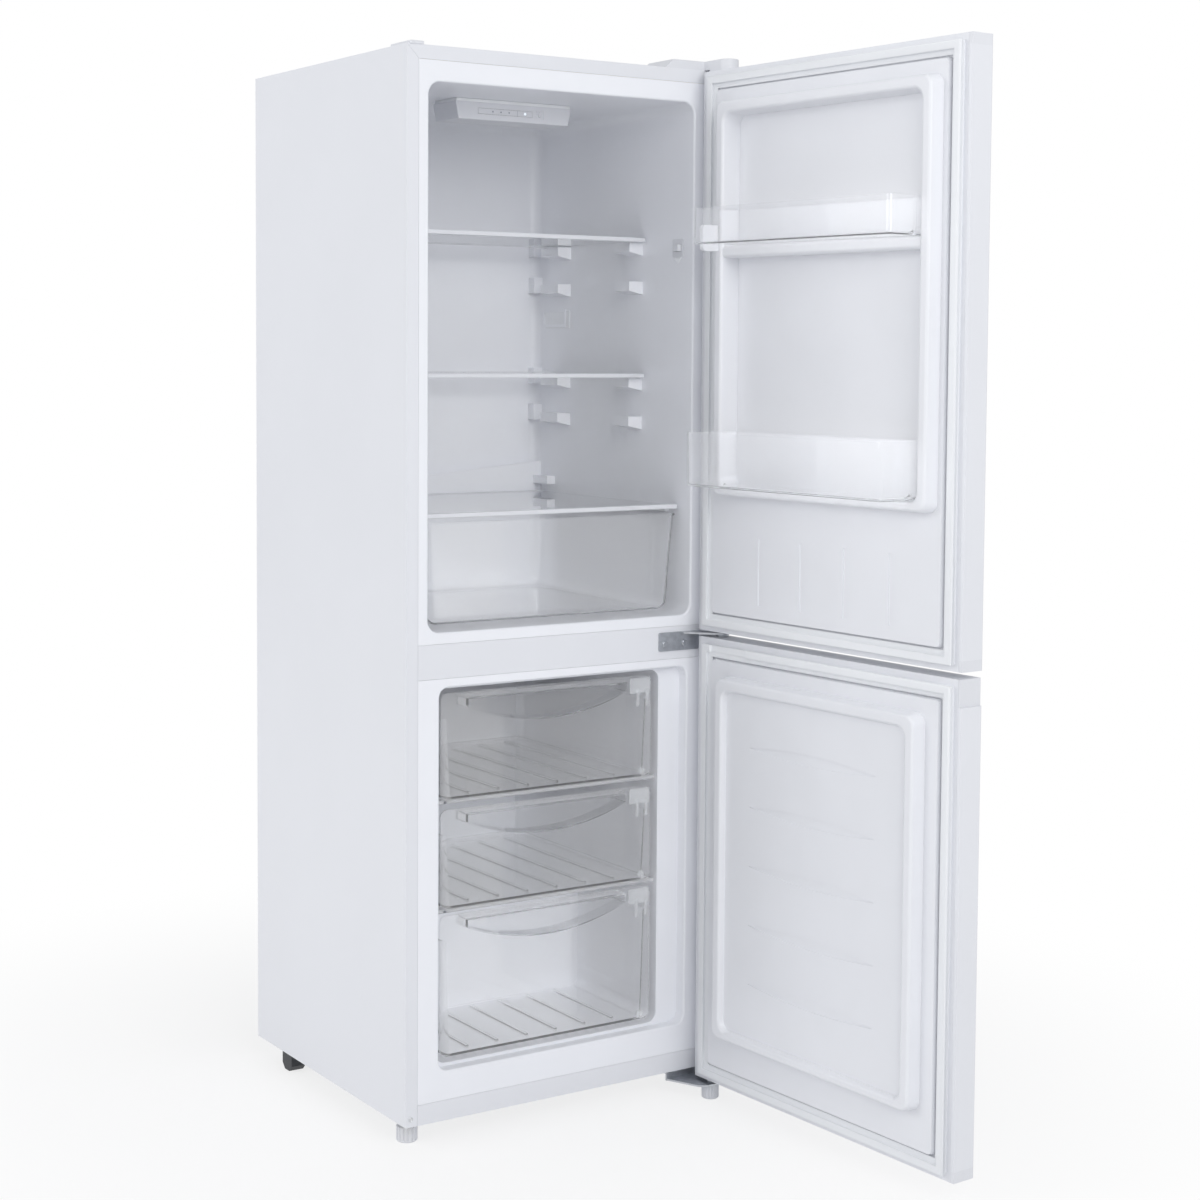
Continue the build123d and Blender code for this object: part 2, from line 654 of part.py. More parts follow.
def back_panel():
    """The flat sheet that closes the insulation at the back."""
    x = RIGHT - SHEET
    return block(-x, x, CABINET_DEPTH - SHEET, CABINET_DEPTH, BAY_ROOF, CABINET_TOP - SHEET)


def base_panel():
    """The folded sheet under the freezer that also forms the front and roof of the machine bay."""
    x = RIGHT - SHEET
    floor = block(-x, x, FOLD * 2 + SEAM, BAY_FRONT, FOOT_HEIGHT, FOOT_HEIGHT + SHEET)
    wall = block(-x, x, BAY_FRONT - SHEET, BAY_FRONT, FOOT_HEIGHT, BAY_ROOF)
    roof = block(-x, x, BAY_FRONT - SHEET, CABINET_DEPTH, BAY_ROOF - SHEET, BAY_ROOF)
    panel = floor + wall + roof
    x_foot, y_foot = left_foot_place()
    return (panel - upright(x_foot, y_foot, 0, BAY_ROOF, STEM_RADIUS + RUNNING_GAP)
            - drain_pipe(DRAIN_RADIUS + PIN_FIT))


def bottom_rail():
    """The rail below the freezer mouth, with a return under the cabinet."""
    x = RIGHT - SIDE_FLANGE - SEAM
    plate = block(-x, x, 0, SHEET, FOOT_HEIGHT, RAIL_TOP)
    return plate + block(-x, x, 0, FOLD * 2, FOOT_HEIGHT, FOOT_HEIGHT + SHEET) \
        - screw_shanks(SCREW_RADIUS + PIN_FIT)


def mid_beam():
    """The beam between the two compartments, with a return along each edge."""
    x = RIGHT - SIDE_FLANGE - SEAM
    plate = block(-x, x, 0, SHEET, BEAM_BOTTOM, BEAM_TOP)
    upper = block(-x, x, 0, FOLD, BEAM_TOP - SHEET, BEAM_TOP)
    lower = block(-x, x, 0, FOLD, BEAM_BOTTOM, BEAM_BOTTOM + SHEET)
    return plate + upper + lower - screw_shanks(SCREW_RADIUS + PIN_FIT)


def cabinet_foam(cutters):
    """The insulation that fills the space between the shell and the liners."""
    x = RIGHT - SHEET
    fill = block(-x, x, LINER_WALL, CABINET_DEPTH - SHEET, FOOT_HEIGHT + SHEET, CABINET_TOP - SHEET)
    bay = block(-x, x, BAY_FRONT - SHEET, CABINET_DEPTH, FOOT_HEIGHT, BAY_ROOF)
    fill -= bay
    fill -= fridge_cavity(LINER_WALL)
    fill -= freezer_cavity(LINER_WALL)
    for cutter in cutters:
        fill -= cutter
    return fill


def corner_cap():
    """The blanking cap over the spare hinge place at the top left."""
    x0 = LEFT + CAP_INSET
    cap = block(x0, x0 + CAP_WIDTH, -CAP_OVERHANG, CAP_LENGTH - CAP_OVERHANG,
                CABINET_TOP, CABINET_TOP + CAP_HEIGHT)
    return fillet(cap.edges().group_by(Axis.Z)[-1] + cap.edges().filter_by(Axis.Z), CAP_ROUND)


# ---------------------------------------------------------------- doors

def door_block(bottom, top, wall=0.0):
    """The outside of a closed door, or the space inside its skin when a wall is given."""
    solid = block(LEFT + wall, RIGHT - wall, DOOR_FRONT + wall, DOOR_INNER - wall, bottom, top)
    depths = solid.edges().filter_by(Axis.Z).group_by(Axis.Y)
    solid = fillet(depths[0], DOOR_EDGE_ROUND - wall)
    hinge_edge = solid.edges().filter_by(Axis.Z).group_by(Axis.Y)[-1].sort_by(Axis.X)[-1]
    return fillet(hinge_edge, DOOR_HINGE_ROUND - wall)


def door_skin(bottom, top):
    """The steel front and sides of a door, with a narrow return around the back."""
    back = block(LEFT + DOOR_RETURN, RIGHT - DOOR_RETURN, DOOR_INNER - 2 * SHEET, DOOR_INNER,
                 bottom, top)
    return door_block(bottom, top) - door_block(bottom, top, SHEET) - back


def liner_flange(bottom, top):
    """The flat edge of a door liner, between the returns of the skin."""
    edge = DOOR_RETURN + SEAM
    return block(LEFT + edge, RIGHT - edge, on_door(-LINER_WALL), on_door(0), bottom, top)


def end_cap(bottom, top, setback=0.0):
    """A moulded cap at one end of a door, which ends at the edges of the liner's flange."""
    cap = door_block(bottom, top) & block(LEFT + setback, RIGHT, DOOR_FRONT, DOOR_INNER, bottom, top)
    return cap - block(LEFT + DOOR_RETURN, RIGHT - DOOR_RETURN, on_door(-LINER_WALL) - SEAM, DOOR_INNER,
                       bottom, top)


def cap_plug(bottom, top):
    """The lip of a cap that fills the skin's end and hides the foam."""
    return door_block(bottom, top, SHEET) & block(LEFT, RIGHT, DOOR_FRONT, on_door(-LINER_WALL) - SEAM,
                                                  bottom, top)


def pin_boss(low, high):
    """The boss around a hinge pin."""
    return upright(HINGE_X, HINGE_Y, low, high, BOSS_RADIUS)


def pin_bore(low, high):
    """The bore that a hinge pin turns in."""
    return upright(HINGE_X, HINGE_Y, low, high, PIN_RADIUS + PIN_FIT)


def gasket_edge(bottom, top):
    """The outer edge of a gasket: left, right, bottom and top."""
    return (LEFT + GASKET_MARGIN, RIGHT - GASKET_HINGE_MARGIN,
            bottom + GASKET_END_MARGIN, top - GASKET_END_MARGIN)


def gasket(bottom, top):
    """The seal around a door's inner face."""
    edge = gasket_edge(bottom, top)
    x0, x1, z0, z1 = drawn_in(edge, GASKET_WIDTH)
    outer = block(edge[0], edge[1], on_door(0), on_door(GASKET_THICKNESS), edge[2], edge[3])
    ring = outer - block(x0, x1, on_door(-1), on_door(GASKET_THICKNESS + 1), z0, z1)
    return fillet(edges_at(ring, Axis.Y, on_door(GASKET_THICKNESS)), GASKET_ROUND)


def gasket_pocket():
    """The room in the lower gasket's face for the middle hinge's foot and its screws."""
    x0, x1 = middle_foot_span()
    return block(x0 - GASKET_POCKET, x1 + GASKET_POCKET, on_door(GASKET_THICKNESS - GASKET_POCKET), 0,
                 BEAM_BOTTOM, BEAM_TOP)


def pedestal(bottom, top, wall):
    """The low plateau inside the gasket, drawn in by a wall's thickness."""
    base = drawn_in(gasket_edge(bottom, top), GASKET_WIDTH + PEDESTAL_MARGIN + wall)
    return tunnel(drawn_in(base, PEDESTAL_MARGIN), base, PEDESTAL_CORNER,
                  on_door(PEDESTAL_HEIGHT - wall), on_door(-wall))


def upper_recess(wall):
    """The hollow of the upper door, which takes the backs of the bins."""
    return recess(upper_dyke_base(), DYKE_WIDTH, DYKE_SILL, 0, wall)


def upper_dyke_base():
    """The foot of the upper door's raised frame: left, right, bottom and top."""
    return (LEFT + FRIDGE_LIP_LEFT + DYKE_FREE_CLEARANCE, RIGHT - FRIDGE_LIP_RIGHT - DYKE_HINGE_CLEARANCE,
            FRIDGE_BOTTOM + UPPER_DYKE_RISE, FRIDGE_TOP - DYKE_TOP_CLEARANCE)


def lower_dyke_base():
    """The foot of the lower door's raised frame."""
    gap = LOWER_DYKE_CLEARANCE
    return (FREEZER_LEFT + gap, FREEZER_RIGHT - LOWER_DYKE_HINGE_CLEARANCE,
            FREEZER_BOTTOM + LOWER_DYKE_RISE, FREEZER_TOP - gap)


def dyke(base, wall):
    """A raised frame's outer form, drawn in by a wall's thickness."""
    foot = drawn_in(base, wall)
    return tunnel(drawn_in(foot, DYKE_DRAFT), foot, DYKE_CORNER,
                  on_door(DYKE_HEIGHT - wall), on_door(-wall))


def recess(base, width, sill, floor, wall):
    """The hollow inside a raised frame, grown by a wall's thickness."""
    x0, x1, z0, z1 = drawn_in(base, DYKE_DRAFT + width - wall)
    mouth = (x0, x1, z0 - width + sill, z1)
    bed = drawn_in(mouth, DYKE_DRAFT)
    return tunnel(mouth, bed, DYKE_CORNER, on_door(DYKE_HEIGHT + 1), on_door(floor - wall))


def dyke_with_recess(base, hollow, wall):
    """A raised frame around its hollow, rounded where it is seen."""
    frame = dyke(base, wall) - hollow
    if wall > 0:
        return frame
    return fillet(edges_at(frame, Axis.Y, on_door(DYKE_HEIGHT)), DYKE_ROUND)


def door_form(door, wall):
    """The liner's raised form over the door's inner plane, drawn in by a wall's thickness."""
    if door == "upper":
        bottom, top, base = UPPER_DOOR_BOTTOM, UPPER_DOOR_TOP, upper_dyke_base()
        hollow = upper_recess(wall)
    else:
        bottom, top, base = LOWER_DOOR_BOTTOM, LOWER_DOOR_TOP, lower_dyke_base()
        hollow = recess(base, LOWER_DYKE_WIDTH, LOWER_DYKE_SILL, DYKE_HEIGHT - LOWER_RECESS_DEPTH, wall)
    return pedestal(bottom, top, wall) - hollow + dyke_with_recess(base, hollow, wall)


def upper_door_liner():
    """The upper door's liner with its raised frame, the ledge for a bin and the flutes below."""
    flange = liner_flange(UPPER_DOOR_BOTTOM, UPPER_DOOR_TOP)
    liner = flange + door_form("upper", 0) - door_form("upper", LINER_WALL)
    return liner + bin_ledge() - flutes()


def flutes():
    """Shallow upright grooves in the flat panel below the raised frame."""
    bottom = FRIDGE_BOTTOM + FLUTE_RISE
    depth = on_door(PEDESTAL_HEIGHT)
    cuts = Part()
    for number in range(FLUTE_COUNT):
        x = FRIDGE_MIDDLE + (number - (FLUTE_COUNT - 1) / 2) * FLUTE_PITCH
        cuts += block(x - GROOVE_WIDTH / 2, x + GROOVE_WIDTH / 2, depth - GROOVE_DEPTH, depth + 1,
                      bottom, bottom + FLUTE_HEIGHT)
    return cuts


def bin_ledge():
    """The ledge across the raised frame under the upper bin, with the lug for the light switch."""
    x0, x1, _, _ = drawn_in(upper_dyke_base(), DYKE_DRAFT + DYKE_WIDTH - LINER_WALL)
    top = FRIDGE_BOTTOM + UPPER_BIN_RISE - REST_GAP
    low = top - LEDGE_THICKNESS
    shelf = block(x0, x1, on_door(-LINER_WALL), on_door(LEDGE_REACH), low, top)
    shelf = fillet(shelf.edges().filter_by(Axis.X).group_by(Axis.Y)[-1], LEDGE_ROUND)
    lug_left = bin_right() + SEAM
    lug = block(lug_left, lug_left + LUG_WIDTH, on_door(DYKE_HEIGHT / 2), on_door(LUG_REACH),
                top - LUG_DROP, top + LUG_RISE)
    lug = fillet(lug.edges().filter_by(Axis.X).group_by(Axis.Y)[-1], LEDGE_ROUND)
    return (shelf & upper_recess(LINER_WALL / 2)) + (lug - dyke(upper_dyke_base(), LINER_WALL))


def bin_right():
    """The hinge-side end of a bin's front part."""
    x1 = drawn_in(upper_dyke_base(), DYKE_DRAFT * 2 + DYKE_WIDTH)[1]
    return x1 + BIN_OVERHANG


def lower_door_liner():
    """The lower door's liner with its raised frame and lens-shaped grooves."""
    flange = liner_flange(LOWER_DOOR_BOTTOM, LOWER_DOOR_TOP)
    liner = flange + door_form("lower", 0) - door_form("lower", LINER_WALL)
    return liner - lens_grooves()


def lens_grooves():
    """Shallow grooves whose outline is two flat arcs, one over the other in the recess."""
    depth = on_door(DYKE_HEIGHT - LOWER_RECESS_DEPTH)
    middle = (FREEZER_LEFT + FREEZER_RIGHT) / 2
    cuts = Part()
    for number in range(LENS_COUNT):
        z = FREEZER_BOTTOM + LENS_RISE + number * LENS_PITCH
        half = LENS_WIDTH / 2
        arcs = [ThreePointArc((middle - half, z), (middle, z + side * LENS_HEIGHT / 2), (middle + half, z))
                for side in (1, -1)]
        face = make_face(Curve() + arcs)
        cuts += extrude(upright_plane(depth + 1) * face, GROOVE_DEPTH + 1)
    return cuts


def door_foam(door, bottom, top, low_cap, high_cap):
    """The insulation of a door."""
    low, high = bottom + low_cap, top - high_cap
    fill = door_block(low, high, SHEET) & block(LEFT, RIGHT, DOOR_FRONT, on_door(-LINER_WALL), low, high)
    return fill + door_form(door, LINER_WALL)


def upper_door():
    """The pieces of the upper door, by node name."""
    low, high = UPPER_DOOR_BOTTOM, UPPER_DOOR_TOP
    low_boss = pin_boss(low, low + PIN_REACH + PIN_END)
    high_boss = pin_boss(high - PIN_REACH - PIN_END, high)
    bores = pin_bore(low, low + PIN_REACH + 1) + pin_bore(high - PIN_REACH - 1, high)
    caps = end_cap(low, low + END_CAP) + low_boss + end_cap(high - END_CAP, high) + high_boss
    return {
        "upper_door_skin": door_skin(low + END_CAP, high - END_CAP),
        "upper_door_end_caps": caps - bores,
        "upper_door_foam": door_foam("upper", low, high, END_CAP, END_CAP) - low_boss - high_boss,
        "upper_door_liner": upper_door_liner(),
        "upper_door_gasket": gasket(low, high),
    }


def lower_door():
    """The pieces of the lower door, by node name."""
    low, high = LOWER_DOOR_BOTTOM, LOWER_DOOR_TOP
    low_boss = pin_boss(low, low + PIN_REACH + PIN_END)
    bores = pin_bore(low, low + PIN_REACH + 1) + pin_bore(high - PIN_REACH - 1, high)
    shoulder = high - GRIP_CAP
    grip = end_cap(shoulder, high, GRIP_SETBACK) + cap_plug(shoulder - CAP_PLUG, shoulder)
    caps = end_cap(low, low + END_CAP) + low_boss + grip
    return {
        "lower_door_skin": door_skin(low + END_CAP, shoulder),
        "lower_door_end_caps": caps - bores,
        "lower_door_foam": door_foam("lower", low, high, END_CAP, GRIP_CAP + CAP_PLUG) - low_boss,
        "lower_door_liner": lower_door_liner(),
        "lower_door_gasket": gasket(low, high) - gasket_pocket(),
    }


def door_bin(low, height, depth):
    """A clear bin: narrow where it sits in the raised frame, wider in front of it."""
    x0, x1, _, _ = drawn_in(upper_dyke_base(), DYKE_DRAFT * 2 + DYKE_WIDTH + BIN_CLEARANCE)
    high = low + height
    neck = on_door(DYKE_HEIGHT + RUNNING_GAP)

    def form(wall):
        face = (x0 + wall, x1 - wall, low + wall, high + DYKE_CORNER)
        rear = tunnel(face, face, DYKE_CORNER - wall, on_door(LINER_WALL) + wall, neck + wall + 1)
        front = block(x0 - BIN_STEP + wall, bin_right() - wall, neck + wall, on_door(depth) - wall,
                      low + wall, high + wall)
        front = fillet(front.edges().filter_by(Axis.Z).group_by(Axis.Y)[-1], BIN_CORNER - wall)
        front = fillet(front.edges().group_by(Axis.Z)[0].group_by(Axis.Y)[-1], BIN_EDGE)
        return rear + front

    above = block(LEFT, RIGHT, DOOR_FRONT, on_door(depth + 1), high, high + height)
    return form(0) - form(BIN_WALL) - above


# ---------------------------------------------------------------- fridge contents

def glass_shelf(rise, front, depth):
    """The glass and the two edge trims of a shelf."""
    bottom = FRIDGE_BOTTOM + rise
    x0 = fridge_left(front + depth) + SHELF_CLEARANCE
    x1 = fridge_right(front + depth) - SHELF_CLEARANCE
    low = bottom + (TRIM_HEIGHT - GLASS) / 2
    glass = block(x0 + 1, x1 - 1, front + TRIM_LIP, front + depth - TRIM_LIP, low, low + GLASS)
    trims = Part()
    for y0, y1 in ((front, front + TRIM_DEPTH), (front + depth - TRIM_DEPTH, front + depth)):
        bar = block(x0, x1, y0, y1, bottom, bottom + TRIM_HEIGHT)
        trims += fillet(bar.edges().filter_by(Axis.X), TRIM_ROUND)
    return glass, trims - glass


def crisper():
    """The clear drawer, its sides sloping inwards to the floor."""
    low = FRIDGE_BOTTOM + FRIDGE_DRAFT + CRISPER_FLOOR_GAP
    high = low + CRISPER_HEIGHT
    back = CRISPER_FRONT + CRISPER_DEPTH
    x0 = fridge_left(back) + CRISPER_SIDE_GAP
    x1 = fridge_right(back) - CRISPER_SIDE_GAP

    middle = (x0 + x1) / 2
    width = x1 - x0

    def form(wall):
        across, along = width - 2 * wall, CRISPER_DEPTH - 2 * wall
        corner = CRISPER_CORNER - wall
        rim = Pos(middle, (CRISPER_FRONT + back) / 2, high) * RectangleRounded(across, along, corner)
        foot = Pos(middle, (CRISPER_FRONT + CRISPER_LEAN + back) / 2, low + wall) * RectangleRounded(
            across - 2 * CRISPER_DRAFT, along - CRISPER_LEAN, corner)
        body = loft([foot, rim], ruled=True)
        return fillet(edges_at(body, Axis.Z, low + wall), corner)

    edge = Pos(middle, (CRISPER_FRONT + back) / 2, high - CRISPER_LIP) * RectangleRounded(
        width + 2 * CRISPER_LIP, CRISPER_DEPTH, CRISPER_CORNER)
    lip = extrude(edge, CRISPER_LIP)
    return form(0) + lip - form(CRISPER_WALL) - block(LEFT, RIGHT, 0, CABINET_DEPTH, high, CABINET_TOP)


def control_outline(inset):
    """The front of the control box, wider at the top, drawn in by an inset."""
    bottom, top = control_heights()
    middle = FRIDGE_MIDDLE + CONTROL_SHIFT
    upper = CONTROL_WIDTH / 2 - inset
    lower = upper - CONTROL_SLANT
    return make_face(Polyline((middle - lower, bottom + inset), (middle + lower, bottom + inset),
                              (middle + upper, top - inset), (middle - upper, top - inset), close=True))


def control_heights():
    """The underside and the top of the control box."""
    top = fridge_ceiling(CONTROL_FRONT) - CONTROL_DROP
    return top - CONTROL_HEIGHT, top


def around(x, z, width, height, y0, y1):
    """A box around a line along Y."""
    return block(x - width / 2, x + width / 2, y0, y1, z - height / 2, z + height / 2)


def control_housing(window, lamp, button_x, level_z):
    """The housing, hollow, with openings for the display, the lamp and the button."""
    front, back = CONTROL_FRONT, CONTROL_FRONT + CONTROL_DEPTH
    top = control_heights()[1]
    middle = FRIDGE_MIDDLE + CONTROL_SHIFT
    body = extrude(upright_plane(back) * control_outline(0), CONTROL_DEPTH)
    body = fillet(body.edges().filter_by(Axis.Y) + edges_at(body, Axis.Y, front), CONTROL_ROUND)
    hollow = extrude(upright_plane(back - CONTROL_WALL) * control_outline(CONTROL_WALL),
                     CONTROL_DEPTH - 2 * CONTROL_WALL)
    neck = block(middle - CONTROL_WIDTH / 3, middle + CONTROL_WIDTH / 3, front + CONTROL_NECK_INSET,
                 back - CONTROL_NECK_INSET, top - CONTROL_WALL / 2, fridge_ceiling(back))
    post = around(middle - CONTROL_POST_OFFSET, level_z, CONTROL_POST, CONTROL_POST,
                  board_back(), back - CONTROL_WALL / 2)
    groove = (around(button_x, level_z, BUTTON_FRAME, BUTTON_FRAME, front, front + BUTTON_GROOVE)
              - around(button_x, level_z, BUTTON_FRAME - 1, BUTTON_FRAME - 1, front, front + BUTTON_GROOVE))
    bore = level(button_x, front - 1, front + CONTROL_WALL + 1, level_z, BUTTON_RADIUS + BUTTON_FIT)
    return body - hollow + neck + post - window - lamp - bore - groove


def board_back():
    """The back face of the control board."""
    return CONTROL_FRONT + CONTROL_WALL + BOARD_BACK + BOARD_THICKNESS


def control_button(x, z):
    """The button, with a collar that holds it in the housing."""
    inside = CONTROL_FRONT + CONTROL_WALL
    cap = level(x, CONTROL_FRONT - BUTTON_PROUD, inside + 1, z, BUTTON_RADIUS)
    cap = fillet(edges_at(cap, Axis.Y, CONTROL_FRONT - BUTTON_PROUD), BUTTON_ROUND)
    return cap + level(x, inside + RUNNING_GAP, inside + BUTTON_COLLAR, z, BUTTON_RADIUS + 1)


def control_board(lens_x, z):
    """The circuit board with a row of small lamps behind the display."""
    bottom, top = control_heights()
    middle = FRIDGE_MIDDLE + CONTROL_SHIFT
    half = CONTROL_WIDTH / 2 - BOARD_INSET
    front = board_back() - BOARD_THICKNESS
    gap = CONTROL_WALL + 1
    board = block(middle - half, middle + half, front, front + BOARD_THICKNESS, bottom + gap, top - gap)
    for number in range(LED_COUNT):
        x = lens_x + (number - (LED_COUNT - 1) / 2) * LENS_STRIP_WIDTH / (LED_COUNT + 0.5)
        board += around(x, z, LED_SIZE, LED_SIZE, front - LED_SIZE / 2, front)
    return board


def control_box():
    """The control box: housing, display lens, lamp lens, board and button."""
    front = CONTROL_FRONT
    bottom, top = control_heights()
    level_z = (top + bottom) / 2
    middle = FRIDGE_MIDDLE + CONTROL_SHIFT
    lens_x = middle + LENS_STRIP_SHIFT
    window = around(lens_x, level_z, LENS_STRIP_WIDTH, LENS_STRIP_HEIGHT, front, front + CONTROL_WALL)
    display = around(lens_x, level_z, LENS_STRIP_WIDTH - 2 * SEAM, LENS_STRIP_HEIGHT - 2 * SEAM,
                     front, front + CONTROL_WALL)
    lamp_y = front + CONTROL_DEPTH / 2
    lamp = block(middle - LAMP_WIDTH / 2, middle + LAMP_WIDTH / 2, lamp_y - LAMP_DEPTH / 2,
                 lamp_y + LAMP_DEPTH / 2, bottom, bottom + CONTROL_WALL)
    button_x = middle + BUTTON_OFFSET
    return {
        "control_housing": control_housing(window, lamp, button_x, level_z),
        "control_lenses": [display, lamp],
        "control_board": control_board(lens_x, level_z),
        "control_button": control_button(button_x, level_z),
    }


# ---------------------------------------------------------------- light switch

def switch_window(grow):
    """The opening in the fridge's right wall that the light switch sits in."""
    wall = fridge_right(SWITCH_FRONT)
    bottom = FRIDGE_BOTTOM + SWITCH_RISE
    y0, y1 = SWITCH_FRONT - grow, SWITCH_FRONT + SWITCH_WIDTH + grow
    return block(wall - SWITCH_FLANGE, wall + SWITCH_POCKET + grow, y0, y1,
                 bottom - grow, bottom + SWITCH_HEIGHT + grow)


def light_switch():
    """The switch's cup with its flange, and the rocker that the door presses."""
    wall = fridge_right(SWITCH_FRONT + SWITCH_WIDTH)
    bottom = FRIDGE_BOTTOM + SWITCH_RISE
    y0, y1 = SWITCH_FRONT, SWITCH_FRONT + SWITCH_WIDTH
    top = bottom + SWITCH_HEIGHT
    back = fridge_right(SWITCH_FRONT) + SWITCH_POCKET
    rim = SWITCH_FLANGE
    cup = block(wall - SWITCH_WALL, back, y0, y1, bottom, top)
    flange = block(wall - SWITCH_WALL, wall - REST_GAP, y0 - rim, y1 + rim, bottom - rim, top + rim)
    flange = fillet(flange.edges().filter_by(Axis.X), rim)
    middle = (bottom + top) / 2
    half = ROCKER_HEIGHT / 2
    gap = RUNNING_GAP
    hollow = block(wall - ROCKER_PROUD, back - SWITCH_WALL, y0 + SWITCH_WALL, y1 - SWITCH_WALL,
                   middle - half - gap, middle + half + gap)
    rocker = block(wall - ROCKER_PROUD, wall + ROCKER_PROUD, y0 + SWITCH_WALL + gap, y1 - SWITCH_WALL - gap,
                   middle - half, middle + half)
    rocker = chamfer(rocker.edges().filter_by(Axis.Z).group_by(Axis.X)[0], ROCKER_PROUD / 2)
    return {"light_switch_housing": cup + flange - hollow, "light_switch_rocker": rocker}


# ---------------------------------------------------------------- freezer contents

def divider(underside):
    """A shelf between two drawers."""
    gap = DIVIDER_CLEARANCE
    plate = block(FREEZER_INNER_LEFT + gap, FREEZER_INNER_RIGHT - gap, DIVIDER_FRONT,
                  DIVIDER_FRONT + DIVIDER_DEPTH, underside, underside + DIVIDER)
    return fillet(plate.edges().filter_by(Axis.X).group_by(Axis.Y)[0], DIVIDER_ROUND)


def drawer(bottom, top, depth):
    """A clear freezer drawer: a front plate with a scooped grip, and a tub behind it."""
    x0 = FREEZER_INNER_LEFT + DRAWER_SIDE_GAP
    x1 = FREEZER_INNER_RIGHT - DRAWER_SIDE_GAP
    face = (x0, x1, bottom, top)
    plate = tunnel(face, face, DRAWER_CORNER, DRAWER_FRONT, DRAWER_FRONT + DRAWER_WALL)
    middle = (x0 + x1) / 2
    grip = scoop(middle, top, 0)
    cup = scoop(middle, top, DRAWER_WALL) - grip
    tub = drawer_tub(x0 + TUB_INSET, x1 - TUB_INSET, bottom, top - DRAWER_RIM_DROP, depth)
    return plate + tub - grip + cup


def drawer_tub(x0, x1, bottom, rim, depth):
    """The tub behind a drawer's front, its walls leaning outwards to the rim."""
    start = DRAWER_FRONT + DRAWER_WALL
    back = DRAWER_FRONT + depth

    def layer(z, inset, wall):
        end = back - inset - wall
        width = x1 - x0 - 2 * (inset + wall)
        centre = Pos((x0 + x1) / 2, (start + end) / 2, z)
        return centre * RectangleRounded(width, end - start + wall, TUB_CORNER)

    def form(wall):
        return loft([layer(bottom + wall, DRAWER_DRAFT, wall), layer(rim, 0, wall)], ruled=True)

    tub = form(0) - form(DRAWER_WALL) - block(LEFT, RIGHT, 0, start, bottom, rim)
    bed = bottom + DRAWER_WALL
    for number in range(FLOOR_RIBS):
        x = x0 + (x1 - x0) * (number + 1) / (FLOOR_RIBS + 1)
        tub += block(x - FLOOR_RIB / 2, x + FLOOR_RIB / 2, start + FLOOR_RIB_INSET,
                     back - FLOOR_RIB_INSET - DRAWER_DRAFT, bed - FLOOR_RIB / 4, bed + FLOOR_RIB / 2)
    return tub


def scoop(middle, top, wall):
    """The space of the scooped grip, grown by a wall."""
    high = top - SCOOP_DROP
    half = SCOOP_WIDTH / 2 + wall
    shoulder = high - SCOOP_SHOULDER
    curve = ThreePointArc((middle - half, shoulder), (middle, high - SCOOP_HEIGHT - wall),
                          (middle + half, shoulder))
    sides = Polyline((middle + half, shoulder), (middle + half, high + wall), (middle - half, high + wall),
                     (middle - half, shoulder))
    depth = SCOOP_DEPTH + wall
    return extrude(upright_plane(DRAWER_FRONT + depth) * make_face(Curve() + [curve, sides]), depth)


# ---------------------------------------------------------------- hinges and fasteners

def screw_places():
    """Where the cabinet's screws sit: a point under the head and the way the shank goes."""
    top = CABINET_TOP + BRACKET
    under = FOOT_HEIGHT - BRACKET
    on_top = [(HINGE_X - 56, 32, top), (HINGE_X - 30, 32, top), (HINGE_X + 6, 40, top)]
    on_beam = [(HINGE_X - 74, -BRACKET, BEAM_SCREW_Z), (HINGE_X - 41, -BRACKET, BEAM_SCREW_Z)]
    below = [(HINGE_X - 50, 12, under), (HINGE_X - 12, 12, under)]
    return ([(place, "down") for place in on_top] + [(place, "back") for place in on_beam]
            + [(place, "up") for place in below])


def stud(place, way, radius, length):
    """A cylinder from a place, going down, up or back."""
    x, y, z = place
    if way == "down":
        return upright(x, y, z - length, z, radius)
    if way == "up":
        return upright(x, y, z, z + length, radius)
    return level(x, y, y + length, z, radius)


def screw_shanks(radius):
    """The shanks of all the screws, to cut holes with."""
    shanks = Part()
    for place, way in screw_places():
        shanks += stud(place, way, radius, SCREW_LENGTH + 1)
    return shanks


def screws():
    """Pan-head screws that hold the hinge brackets."""
    group = []
    opposite = {"down": "up", "up": "down"}
    for place, way in screw_places():
        x, y, z = place
        if way == "back":
            head = level(x, y - SCREW_HEAD, y, z, SCREW_HEAD_RADIUS)
            rim = edges_at(head, Axis.Y, y - SCREW_HEAD)
        else:
            head = stud(place, opposite[way], SCREW_HEAD_RADIUS, SCREW_HEAD)
            rim = edges_at(head, Axis.Z, z + SCREW_HEAD if way == "down" else z - SCREW_HEAD)
        group.append(fillet(rim, 1) + stud(place, way, SCREW_RADIUS, SCREW_LENGTH))
    return group


def arm_outline(x0, y0, y1, half):
    """A hinge plate seen from above: a wide root on the cabinet and an arm to the pin."""
    x1 = HINGE_X + half
    root = Pos((x0 + x1) / 2, (y0 + y1) / 2) * Rectangle(x1 - x0, y1 - y0)
    return Plane.XY.offset(CABINET_TOP) * (root + hinge_arm(half))


def hinge_arm(half):
    """The arm of a hinge plate seen from above, from the cabinet's front to round the pin."""
    back = COVER_WALL * 2
    return (Pos(HINGE_X, (HINGE_Y + back) / 2) * Rectangle(2 * half, back - HINGE_Y)
            + Pos(HINGE_X, HINGE_Y) * Circle(half))


def pin_hole(low, high):
    """The hole in a bracket that a pin is riveted in."""
    return upright(HINGE_X, HINGE_Y, low, high, PIN_RADIUS)


